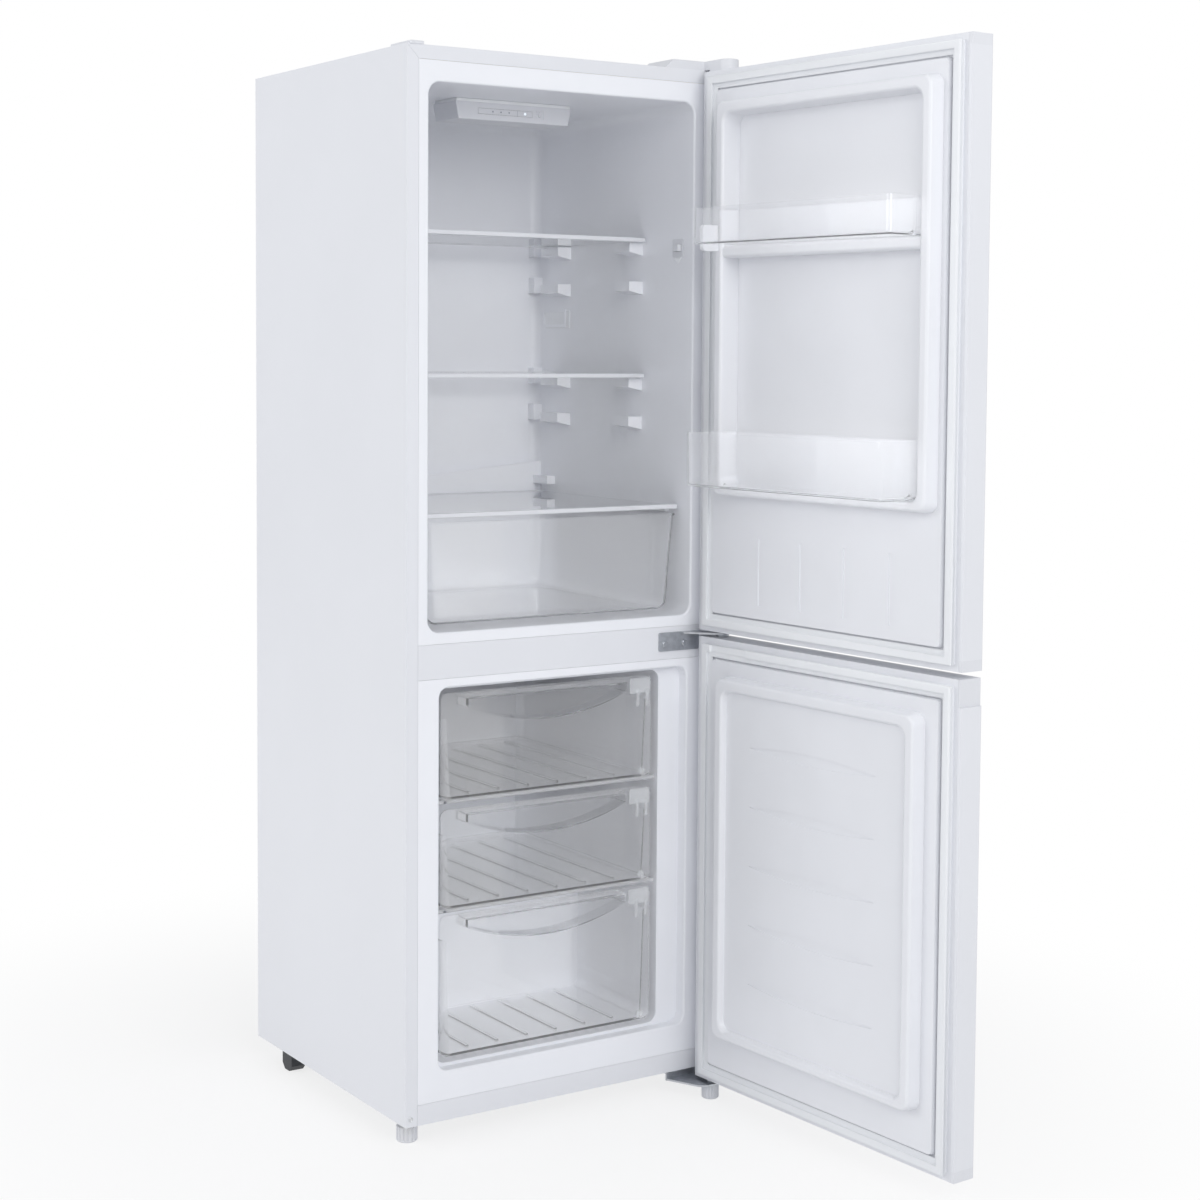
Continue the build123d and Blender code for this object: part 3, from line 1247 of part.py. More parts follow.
def top_hinge_bracket():
    """The plate on the cabinet's top that holds the upper pin."""
    inset = COVER_WALL + SEAM
    outline = arm_outline(HINGE_X - PLATE_LEFT, inset, PLATE_DEPTH, HINGE_ARM / 2 - inset)
    plate = extrude(outline, BRACKET)
    return plate - screw_shanks(SCREW_RADIUS + PIN_FIT) - pin_hole(CABINET_TOP, CABINET_TOP + BRACKET)


def top_hinge_cover():
    """The white cover over the top hinge: its left end slopes and its nose reaches the door."""
    left = HINGE_X - COVER_LEFT
    half = HINGE_ARM / 2
    top = CABINET_TOP + COVER_HEIGHT
    nose_low = UPPER_DOOR_TOP + RUNNING_GAP
    nose_front = HINGE_Y - half
    lid = extrude(arm_outline(left, 0, COVER_BACK, half), COVER_HEIGHT)
    corner = Polyline((left - 1, CABINET_TOP), (left - 1, top + 1), (left + COVER_SLOPE, top + 1),
                      (left, CABINET_TOP), close=True)
    lid -= extrude(upright_plane(COVER_BACK) * make_face(corner), COVER_BACK - nose_front)
    lid = fillet(edges_at(lid, Axis.Z, top), COVER_WALL * 0.75)
    nose = extrude(Plane.XY.offset(nose_low) * hinge_arm(half), COVER_HEIGHT / 2)
    nose &= block(LEFT, RIGHT, nose_front, DOOR_INNER, nose_low, top)
    inner = half - COVER_WALL
    arm_room = extrude(Plane.XY.offset(nose_low) * hinge_arm(inner), top - COVER_WALL - nose_low)
    root_room = block(left + COVER_SLOPE, HINGE_X + inner, COVER_WALL, COVER_BACK - COVER_WALL,
                      CABINET_TOP, top - COVER_WALL)
    plate_room = extrude(arm_outline(HINGE_X - PLATE_LEFT - SEAM, COVER_WALL, PLATE_DEPTH + SEAM, inner),
                         BRACKET + SEAM)
    return lid + nose - arm_room - root_room - plate_room


def middle_foot_span():
    """The two ends of the middle bracket's foot."""
    return HINGE_X - MIDDLE_LEFT, HINGE_X - MIDDLE_RIGHT


def middle_hinge_bracket():
    """The zinc angle on the beam whose arm holds the pin between the doors."""
    half = BRACKET / 2
    x0, x1 = middle_foot_span()
    foot = block(x0, x1, -BRACKET, 0, BEAM_SCREW_Z - MIDDLE_FOOT, SPLIT + half)
    foot = fillet(foot.edges().filter_by(Axis.Y), BRACKET)
    outline = Polyline((x1 - MIDDLE_ARM, 0), (x1 - MIDDLE_ARM, -8), (HINGE_X - 10, HINGE_Y - 8),
                       (HINGE_X, HINGE_Y + 4), (x1, 0), close=True)
    arm = extrude(Plane.XY.offset(SPLIT - half) * make_face(outline), BRACKET)
    tip = upright(HINGE_X, HINGE_Y, SPLIT - half, SPLIT + half, MIDDLE_TIP)
    return foot + arm + tip - screw_shanks(SCREW_RADIUS + PIN_FIT) - pin_hole(SPLIT - half, SPLIT + half)


def bottom_plate_top():
    """The upper face of the bottom bracket's front plate, below the lower door."""
    return FOOT_HEIGHT - BOTTOM_BRACKET_DROP


def bottom_hinge_bracket():
    """The stepped plate under the cabinet that holds the lowest pin and the right front foot."""
    x0, x1 = HINGE_X - BOTTOM_LEFT, HINGE_X + BOTTOM_RIGHT
    top = bottom_plate_top()
    low = top - BRACKET
    root = block(x0, x1, 0, BOTTOM_DEPTH, FOOT_HEIGHT - BRACKET, FOOT_HEIGHT)
    step = block(x0, x1, 0, BRACKET, low, FOOT_HEIGHT)
    outline = Polyline((x0, BRACKET), (HINGE_X - 40, HINGE_Y - 10), (HINGE_X - 28, HINGE_Y - 16),
                       (HINGE_X + 8, HINGE_Y - 16), (x1, HINGE_Y - 6), (x1, BRACKET), close=True)
    front = extrude(Plane.XY.offset(low) * make_face(outline), BRACKET)
    stem = upright(RIGHT_FOOT_X, RIGHT_FOOT_Y, low, top, STEM_RADIUS + PIN_FIT * 2)
    return root + step + front - stem - screw_shanks(SCREW_RADIUS + PIN_FIT) - pin_hole(low, top)


def hinge_pins():
    """The three pins that the doors turn on."""
    low = bottom_plate_top() - BRACKET
    return [upright(HINGE_X, HINGE_Y, low, LOWER_DOOR_BOTTOM + PIN_REACH, PIN_RADIUS),
            upright(HINGE_X, HINGE_Y, LOWER_DOOR_TOP - PIN_REACH, UPPER_DOOR_BOTTOM + PIN_REACH,
                    PIN_RADIUS),
            upright(HINGE_X, HINGE_Y, UPPER_DOOR_TOP - PIN_REACH, CABINET_TOP + BRACKET, PIN_RADIUS)]


def hinge_washers():
    """Washers between the hinge plates and the doors."""
    half = BRACKET / 2
    spans = [(bottom_plate_top(), LOWER_DOOR_BOTTOM), (LOWER_DOOR_TOP, SPLIT - half),
             (SPLIT + half, UPPER_DOOR_BOTTOM)]
    return [upright(HINGE_X, HINGE_Y, low + WASHER_GAP, high - WASHER_GAP, WASHER_RADIUS)
            - upright(HINGE_X, HINGE_Y, low, high, PIN_RADIUS + PIN_FIT) for low, high in spans]


# ---------------------------------------------------------------- feet

def left_foot_place():
    """Where the left front foot stands."""
    return LEFT + LEFT_FOOT_INSET, LEFT_FOOT_Y


def ribbed_foot(x, y, radius, stem_top):
    """A levelling foot: a ribbed pad on a threaded stem."""
    pad = upright(x, y, 0, FOOT_PAD_HEIGHT, radius)
    pad = chamfer(edges_at(pad, Axis.Z, 0), FOOT_EDGE)
    for place in PolarLocations(radius, FOOT_RIBS):
        pad -= Pos(x, y, FOOT_PAD_HEIGHT / 2 + FOOT_BASE) * place * Cylinder(FOOT_GROOVE, FOOT_PAD_HEIGHT)
    return pad + upright(x, y, FOOT_PAD_HEIGHT - 1, stem_top, STEM_RADIUS)


def rear_feet():
    """The two dark feet under the machine bay, bevelled at both ends."""
    feet = []
    for side in (-1, 1):
        outer = side * (RIGHT - REAR_FOOT_INSET)
        inner = outer - side * REAR_FOOT_WIDTH
        foot = block(min(outer, inner), max(outer, inner), REAR_FOOT_FRONT,
                     REAR_FOOT_FRONT + REAR_FOOT_LENGTH, 0, FOOT_HEIGHT)
        low = foot.edges().filter_by(Axis.X).group_by(Axis.Z)[0]
        feet.append(chamfer(low, REAR_FOOT_TOE))
    return feet


# ---------------------------------------------------------------- machine bay

def compressor_place():
    """The middle of the compressor, seen from above."""
    return COMPRESSOR_X, (BAY_FRONT + CABINET_DEPTH) / 2 + 2


def base_plate():
    """The steel plate across the bay that carries the compressor."""
    x = RIGHT - SHEET
    plate = block(-x, x, BAY_FRONT, CABINET_DEPTH, FOOT_HEIGHT, FOOT_HEIGHT + BASE_PLATE)
    lip = block(-x, x, CABINET_DEPTH - BASE_PLATE, CABINET_DEPTH, FOOT_HEIGHT, FOOT_HEIGHT + BASE_LIP)
    return plate + lip


def grommet_places():
    """The four points that the compressor stands on."""
    x, y = compressor_place()
    across, along = COMPRESSOR_FOOT_WIDTH / 2 - MOUNT_INSET, COMPRESSOR_FOOT_DEPTH / 2 - MOUNT_INSET
    return [(x + dx * across, y + dy * along) for dx in (-1, 1) for dy in (-1, 1)]


def grommets():
    """Rubber mounts under the compressor's feet."""
    low = FOOT_HEIGHT + BASE_PLATE
    high = low + GROMMET_HEIGHT
    return [upright(x, y, low, high, GROMMET_RADIUS) - upright(x, y, low, high, GROMMET_BORE)
            for x, y in grommet_places()]


def compressor():
    """The sealed compressor on its foot plate, with a weld seam around the can."""
    x, y = compressor_place()
    low = FOOT_HEIGHT + BASE_PLATE + GROMMET_HEIGHT
    top = low + COMPRESSOR_HEIGHT
    can = upright(x, y, low + COMPRESSOR_PLATE / 2, top, COMPRESSOR_RADIUS)
    rims = edges_at(can, Axis.Z, low + COMPRESSOR_PLATE / 2) + edges_at(can, Axis.Z, top)
    can = fillet(rims, CAN_ROUND)
    seam_z = low + COMPRESSOR_HEIGHT * CAN_SEAM_SHARE
    seam = upright(x, y, seam_z, seam_z + COMPRESSOR_PLATE, COMPRESSOR_RADIUS + CAN_SEAM_REACH)
    across, along = COMPRESSOR_FOOT_WIDTH / 2, COMPRESSOR_FOOT_DEPTH / 2
    feet = block(x - across, x + across, y - along, y + along, low, low + COMPRESSOR_PLATE)
    return can + seam + fillet(feet.edges().filter_by(Axis.Z), MOUNT_INSET)


def relay_box():
    """The electrical box on the compressor's side, with the gland where the supply enters."""
    x, y = compressor_place()
    low = FOOT_HEIGHT + BASE_PLATE + GROMMET_HEIGHT + RELAY_RISE
    start = x + COMPRESSOR_RADIUS + RELAY_GAP
    end = start + RELAY_WIDTH
    box = block(start, end, y - RELAY_DEPTH / 2, y + RELAY_DEPTH / 2, low, low + RELAY_HEIGHT)
    box = fillet(box.edges().filter_by(Axis.X), GLAND_RADIUS - 1)
    gland = Pos(end + GLAND_RADIUS, y, low + RELAY_HEIGHT / 4) * Rot(0, 90, 0) * Cylinder(
        GLAND_RADIUS, 2 * GLAND_RADIUS)
    return box + gland


def evaporation_tray():
    """The tray on the compressor that the melt water runs into."""
    x, y = compressor_place()
    low = FOOT_HEIGHT + BASE_PLATE + GROMMET_HEIGHT + COMPRESSOR_HEIGHT
    across, along = TRAY_WIDTH / 2, TRAY_DEPTH / 2

    def form(wall):
        body = block(x - across + wall, x + across - wall, y - along + wall, y + along - wall,
                     low + wall, low + TRAY_HEIGHT)
        return fillet(body.edges().filter_by(Axis.Z), TRAY_CORNER - wall)

    return form(0) - form(TRAY_WALL)


def drain_pipe(radius):
    """The route of the melt water from the gutter through the back insulation to the bay."""
    x, y, z = FRIDGE_MIDDLE, (FREEZER_DEPTH + CABINET_DEPTH) / 2, DRAIN_Z
    drop = upright(x, y, BAY_ROOF - SHEET - 2, z, radius)
    return drop + level(x, FRIDGE_DEPTH + LINER_WALL, y, z, radius) + Pos(x, y, z) * Sphere(radius)


def condenser_plane():
    """The depth of the middle of the condenser."""
    return CABINET_DEPTH + CONDENSER_STANDOFF


def condenser_tube():
    """The serpentine tube on the back, from the compressor and down to the filter drier."""
    y = condenser_plane()
    half = CONDENSER_WIDTH / 2
    start = BAY_ROOF + CONDENSER_RISE
    points = [(-half, y, BAY_ROOF - FEED_DROP)]
    for number in range(CONDENSER_RUNS):
        z = start + number * CONDENSER_PITCH
        side = -half if number % 2 == 0 else half
        points += [(side, y, z), (-side, y, z)]
    top = start + (CONDENSER_RUNS - 1) * CONDENSER_PITCH
    end = half if CONDENSER_RUNS % 2 == 1 else -half
    points += [(end, y, top + CONDENSER_PITCH), (end + RETURN_OFFSET, y, top + CONDENSER_PITCH),
               (end + RETURN_OFFSET, y, BAY_ROOF - RETURN_DROP)]
    path = FilletPolyline(*points, radius=BEND / 2)
    profile = Plane(origin=path @ 0, z_dir=path % 0) * Circle(CONDENSER_TUBE)
    return sweep(profile, path)


def condenser_wires():
    """The upright wires welded to both sides of the serpentine."""
    y = condenser_plane()
    half = CONDENSER_WIDTH / 2 - WIRE_INSET
    low = BAY_ROOF + CONDENSER_RISE - WIRE_OVERRUN
    high = low + (CONDENSER_RUNS - 1) * CONDENSER_PITCH + 2 * WIRE_OVERRUN
    count = int(2 * half / WIRE_PITCH)
    wires = []
    for side in (-1, 1):
        depth = y + side * (CONDENSER_TUBE + WIRE_RADIUS)
        wires += [upright((number - count / 2) * WIRE_PITCH, depth, low, high, WIRE_RADIUS)
                  for number in range(count + 1)]
    return wires


def condenser_clips():
    """The four plastic clips that hold the condenser and keep the cabinet off the wall."""
    y = condenser_plane()
    half = CONDENSER_WIDTH / 2
    inset = BEND / 2 + CLIP_WIDTH / 2 + SEAM
    clips = []
    for number in (CLIP_RUN, CONDENSER_RUNS - 1 - CLIP_RUN):
        z = BAY_ROOF + CONDENSER_RISE + number * CONDENSER_PITCH
        clip = block(-CLIP_WIDTH / 2, CLIP_WIDTH / 2, CABINET_DEPTH, CABINET_DEPTH + WALL_GAP,
                     z - CLIP_HEIGHT / 2, z + CLIP_HEIGHT / 2)
        clip = fillet(clip.edges().filter_by(Axis.X).group_by(Axis.Y)[-1], CLIP_HEIGHT / 4)
        clip -= Pos(0, y, z) * Rot(0, 90, 0) * Cylinder(CONDENSER_TUBE + PIN_FIT, 2 * CLIP_WIDTH)
        clips += [Pos(side * (half - inset), 0, 0) * clip for side in (-1, 1)]
    return clips


def filter_drier():
    """The copper filter at the end of the condenser, where the liquid goes on to the capillary."""
    x = CONDENSER_WIDTH / 2 + RETURN_OFFSET
    top = BAY_ROOF - RETURN_DROP - DRIER_GAP
    can = upright(x, condenser_plane(), top - DRIER_LENGTH, top, DRIER_RADIUS)
    return fillet(can.edges(), DRIER_RADIUS / 2)


def evaporators():
    """The cooling plates behind the back walls of the fridge and the freezer."""
    plates = []
    fridge_y, freezer_y = FRIDGE_DEPTH + LINER_WALL, FREEZER_DEPTH + LINER_WALL
    margin = EVAPORATOR_MARGIN
    spans = [(fridge_y, DRAIN_Z + margin, FRIDGE_TOP - 2 * margin),
             (freezer_y, HUMP_TOP + margin, FREEZER_TOP - margin)]
    for y, low, high in spans:
        x0, x1 = LEFT + EVAPORATOR_INSET, RIGHT - EVAPORATOR_INSET
        back = y + EVAPORATOR_PLATE
        plate = block(x0, x1, y, back, low, high)
        for number in range(int((high - low) / EVAPORATOR_PITCH)):
            z = low + (number + 0.5) * EVAPORATOR_PITCH
            plate += Pos((x0 + x1) / 2, back, z) * Rot(0, 90, 0) * Cylinder(
                EVAPORATOR_TUBE, x1 - x0 - EVAPORATOR_PITCH / 2)
        plates.append(plate - block(LEFT, RIGHT, 0, y, 0, CABINET_TOP))
    return plates


# ---------------------------------------------------------------- writing

def cabinet_pieces():
    """The pieces that stay still, by node name."""
    x_foot, y_foot = left_foot_place()
    stem_end = FOOT_PAD_HEIGHT + STEM_LENGTH + STEM_ROOM
    stem_room = upright(x_foot, y_foot, 0, stem_end, STEM_RADIUS + RUNNING_GAP)
    plates = evaporators()
    channel_end = RIGHT - SIDE_FLANGE
    beam_channel = block(-channel_end, channel_end, 0, FOLD + SEAM, BEAM_BOTTOM - SEAM, BEAM_TOP + SEAM)
    cutters = [beam_channel, stem_room, screw_shanks(SCREW_RADIUS + PIN_FIT),
               switch_window(RUNNING_GAP), drain_pipe(DRAIN_RADIUS)] + plates
    return {
        "side_panel_left": side_panel(-1),
        "side_panel_right": side_panel(1),
        "top_panel": top_panel(),
        "back_panel": back_panel(),
        "base_panel": base_panel(),
        "bottom_rail": bottom_rail(),
        "mid_beam": mid_beam(),
        "cabinet_foam": cabinet_foam(cutters),
        "fridge_liner": fridge_liner(),
        "freezer_liner": freezer_liner(),
        "corner_cap": corner_cap(),
        "freezer_shelves": [divider(underside) for underside in divider_undersides()],
        "top_hinge_bracket": top_hinge_bracket(),
        "top_hinge_cover": top_hinge_cover(),
        "middle_hinge_bracket": middle_hinge_bracket(),
        "bottom_hinge_bracket": bottom_hinge_bracket(),
        "hinge_pins_and_washers": hinge_pins() + hinge_washers(),
        "hinge_screws": screws(),
        "rear_feet": rear_feet(),
        "base_plate": base_plate(),
        "compressor_grommets": grommets(),
        "compressor": compressor(),
        "relay_box": relay_box(),
        "evaporation_tray": evaporation_tray(),
        "drain_pipe": drain_pipe(DRAIN_RADIUS) - drain_pipe(DRAIN_BORE),
        "condenser_tube": condenser_tube(),
        "condenser_wires": condenser_wires(),
        "condenser_clips": condenser_clips(),
        "filter_drier": filter_drier(),
        "evaporators": plates,
    }


def fridge_pieces():
    """The shelves and the crisper, by node name."""
    pieces = {"crisper_drawer": crisper()}
    shelves = (("upper_shelf", UPPER_SHELF_RISE, SHELF_FRONT, SHELF_DEPTH),
               ("middle_shelf", MIDDLE_SHELF_RISE, SHELF_FRONT, SHELF_DEPTH),
               ("crisper_cover", COVER_RISE, COVER_FRONT, COVER_DEPTH))
    for name, rise, front, depth in shelves:
        pieces[name + "_glass"], pieces[name + "_trims"] = glass_shelf(rise, front, depth)
    return pieces


def freezer_drawers():
    """The three drawers, by node name."""
    low, high = divider_undersides()
    lowest = FREEZER_FLOOR + 2 * DRAWER_GAP
    middle = low + DIVIDER + DRAWER_GAP / 2
    return {
        "freezer_drawer_bottom": drawer(lowest, lowest + BOTTOM_DRAWER_HEIGHT, BOTTOM_DRAWER_DEPTH),
        "freezer_drawer_middle": drawer(middle, middle + MIDDLE_DRAWER_HEIGHT, DRAWER_DEPTH),
        "freezer_drawer_top": drawer(high + DIVIDER + DRAWER_GAP / 2, FREEZER_CEILING - TOP_DRAWER_CLEARANCE,
                                     DRAWER_DEPTH),
    }


def door_pieces():
    """The doors and their bins, turned to where they stand at rest."""
    pieces = upper_door() | lower_door()
    on_sill = upper_dyke_base()[2] + 2 * DYKE_DRAFT + DYKE_SILL + REST_GAP
    pieces["upper_door_bin"] = door_bin(FRIDGE_BOTTOM + UPPER_BIN_RISE, UPPER_BIN_HEIGHT, UPPER_BIN_DEPTH)
    pieces["lower_door_bin"] = door_bin(on_sill, LOWER_BIN_HEIGHT, LOWER_BIN_DEPTH)
    return {name: swing(shape) for name, shape in pieces.items()}


def feet():
    """The two levelling feet at the front."""
    x, y = left_foot_place()
    return {
        "front_foot_left": ribbed_foot(x, y, FOOT_RADIUS, FOOT_PAD_HEIGHT + STEM_LENGTH),
        "front_foot_right": ribbed_foot(RIGHT_FOOT_X, RIGHT_FOOT_Y, RIGHT_FOOT_RADIUS,
                                        LOWER_DOOR_BOTTOM - 1),
    }


def main():
    """Writes one file for each node."""
    os.makedirs("parts", exist_ok=True)
    pieces = (cabinet_pieces() | fridge_pieces() | control_box() | light_switch()
              | freezer_drawers() | door_pieces() | feet())
    for name, shape in pieces.items():
        solid = Compound(children=list(shape)) if isinstance(shape, list) else shape
        export_step(solid, f"parts/{name}.step")


main()
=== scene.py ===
import math

import bmesh
import bpy
from bpy.props import FloatProperty, FloatVectorProperty, PointerProperty
from mathutils import Matrix, Vector


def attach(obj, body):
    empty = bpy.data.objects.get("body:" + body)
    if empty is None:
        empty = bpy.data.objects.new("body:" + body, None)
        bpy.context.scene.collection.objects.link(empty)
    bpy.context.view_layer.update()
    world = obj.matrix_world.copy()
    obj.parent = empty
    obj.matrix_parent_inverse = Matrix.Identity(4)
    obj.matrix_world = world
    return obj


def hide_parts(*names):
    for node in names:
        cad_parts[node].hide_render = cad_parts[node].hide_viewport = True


bl_info = {
    "name": "Bottom freezer refrigerator",
    "version": (1, 0, 0),
    "blender": (4, 5, 0),
    "location": "View3D > Sidebar > Refrigerator",
    "description": "Seals, clips, printed marks, finishes and studio of a white bottom freezer refrigerator",
    "category": "Object",
}

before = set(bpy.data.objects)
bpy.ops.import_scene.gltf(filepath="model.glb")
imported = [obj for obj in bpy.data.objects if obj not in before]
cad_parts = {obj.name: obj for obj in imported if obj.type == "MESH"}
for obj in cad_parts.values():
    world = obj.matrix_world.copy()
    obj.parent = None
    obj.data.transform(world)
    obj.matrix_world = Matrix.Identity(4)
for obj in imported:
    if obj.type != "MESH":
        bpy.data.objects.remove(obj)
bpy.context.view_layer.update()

# Places of the solids that the pieces here sit on, in metres, with the cabinet's front at y 0
DOOR_LEFT, DOOR_RIGHT = -0.250, 0.250
DOOR_INNER = -0.012
UPPER_DOOR = (0.6545, 1.417)
LOWER_DOOR = (0.027, 0.6455)
HINGE = Vector((0.225, -0.036, 0.0))
# The freezer drawers' bottoms and tops, their front, and the shelves between them
DRAWERS = {
    "bottom_drawer": (0.108, 0.296),
    "middle_drawer": (0.3055, 0.4365),
    "top_drawer": (0.4505, 0.5905),
}
DRAWER_FACE = 0.022
SHELVES = (0.3015, 0.4465)
SHELF_FACE = 0.024
# The fridge's right wall at its front end, and how much it draws in with depth
WALL_FRONT_X, WALL_FRONT_Y = 0.1948, 0.036
WALL_SLOPE = 0.0062
# Room in the lower seal for the hinge plate on the beam, with the door closed
BRACKET_POCKET = ((0.1385, -0.0055, 0.614), (0.2125, 0.001, 0.659))

# The seal's cross section, inwards from its outer edge and up from the door, in these parts
# of its width and height
SEAL_PARTS = (16, 10)
SEAL_PROFILE = (
    (1.6, 0.0), (1.6, 1.4), (0.3, 2.4), (0.2, 3.6), (1.6, 4.6), (2.6, 5.2), (1.2, 6.0),
    (0.1, 7.2), (0.0, 8.8), (0.9, 9.8), (2.0, 10.0), (8.4, 10.0), (9.4, 9.7), (9.8, 8.8),
    (9.2, 7.4), (8.4, 6.6), (9.6, 5.4), (12.4, 4.9), (14.8, 4.6), (15.9, 3.8), (15.9, 2.8),
    (14.6, 2.1), (12.8, 1.5), (12.4, 0.0),
)

# The door liners' colour as a share of the other liners' colour: painted shade, a darker copy of the same
# liner plastic for the doors' inner faces, which lie in shade
DOOR_LINER_PAINTED_SHADE_SHARE = 0.92
WHITE = (1, 1, 1, 1)
AIR_COLOUR = (0.95, 0.97, 1.0, 1)
# How much light a clear piece lets through to what lies in its shadow
CLEAR_SHADOW = (0.985, 0.988, 0.992, 1)

# The turn that makes a plane or a disc face the front
FACING_FRONT = (math.radians(90), 0, 0)

# Each lamp's place, the point that it faces and its size
LAMPS = {
    "key": ((-0.5, -2.9, 2.1), (0.0, 0.1, 0.85), 2.0),
    "side": ((-3.2, 0.9, 1.8), (-0.2, 0.3, 0.8), 2.2),
}
BOUNCES = {
    "max_bounces": 16,
    "diffuse_bounces": 6,
    "transmission_bounces": 16,
    "transparent_max_bounces": 32,
}

# The camera's place in metres, its angles in degrees, and the rest in the photograph's pixels
EYE = Vector((-1.5634, -2.4430, 1.0377))
YAW, PITCH, ROLL = 33.348, 3.52, 0.386
PHOTO_SIDE = 1200
FOCAL_LENGTH = 2180.2
HORIZON_SHIFT = -115
SENSOR_MM = 36.0
FARTHEST_SEEN = 60.0


def wall_x(depth):
    """The right wall of the fridge at a depth from the cabinet's front."""
    return WALL_FRONT_X - (depth - WALL_FRONT_Y) * WALL_SLOPE


def linear(red, green, blue):
    """A colour given as screen values from 0 to 255, in Blender's own scale."""
    def one(value):
        share = value / 255
        return share / 12.92 if share <= 0.04045 else ((share + 0.055) / 1.055) ** 2.4
    return one(red), one(green), one(blue)


# ---------------------------------------------------------------- sizes and colours

class SealSizes(bpy.types.PropertyGroup):
    """Sizes of the magnetic door seals."""
    margin: FloatProperty(
        name="Margin", description="From the door's free edge to the seal",
        default=0.011, unit="LENGTH")
    hinge_margin: FloatProperty(
        name="Hinge margin", description="From the door's hinge edge to the seal",
        default=0.020, unit="LENGTH")
    end_margin: FloatProperty(
        name="End margin", description="From the door's top and bottom to the seal",
        default=0.008, unit="LENGTH")
    width: FloatProperty(
        name="Width", description="Width of the seal", default=0.017, unit="LENGTH")
    height: FloatProperty(
        name="Height", description="How far the seal stands off the door",
        default=0.010, unit="LENGTH")
    door_angle: FloatProperty(
        name="Door angle", description="How far the doors stand open at rest",
        default=math.radians(93.5), subtype="ANGLE")


class FinishColours(bpy.types.PropertyGroup):
    """Colours of the finishes."""
    steel: FloatVectorProperty(
        name="Painted steel", description="Colour of the painted sheet",
        default=linear(234, 235, 239), subtype="COLOR", size=3)
    liner: FloatVectorProperty(
        name="Liner", description="Colour of the vacuum formed liners",
        default=linear(246, 247, 251), subtype="COLOR", size=3)
    moulding: FloatVectorProperty(
        name="Moulding", description="Colour of the white moulded pieces",
        default=linear(230, 231, 235), subtype="COLOR", size=3)
    seal: FloatVectorProperty(
        name="Gasket", description="Colour of the plain solid gaskets",
        default=linear(226, 227, 231), subtype="COLOR", size=3)
    lamp: FloatProperty(
        name="Indicator", description="Strength of the lit indicator", default=1.2, min=0.0)


class StudioSizes(bpy.types.PropertyGroup):
    """The studio around the refrigerator."""
    key: FloatProperty(
        name="Key light", description="Power of the large light in front",
        default=36.0, unit="POWER")
    side: FloatProperty(
        name="Side light", description="Power of the light at the left",
        default=33.0, unit="POWER")
    air: FloatProperty(
        name="Air light", description="Strength of the even light from all around", default=0.60)


# ---------------------------------------------------------------- shader maths

class Signal:
    """A shader socket that adds Math nodes when it is used in an expression."""

    def __init__(self, net, socket):
        self.net = net
        self.socket = socket

    def __add__(self, other):
        return self.net.maths("ADD", self, other)

    def __sub__(self, other):
        return self.net.maths("SUBTRACT", self, other)

    def __rsub__(self, other):
        return self.net.maths("SUBTRACT", other, self)

    def __mul__(self, other):
        return self.net.maths("MULTIPLY", self, other)

    def __pow__(self, other):
        return self.net.maths("POWER", self, other)

    __radd__ = __add__
    __rmul__ = __mul__

    def rises(self, low, high):
        """0 below low, 1 above high, smooth between them."""
        return self.net.node("ShaderNodeMapRange", {"interpolation_type": "SMOOTHSTEP"},
                             {"Value": self, "From Min": low, "From Max": high})


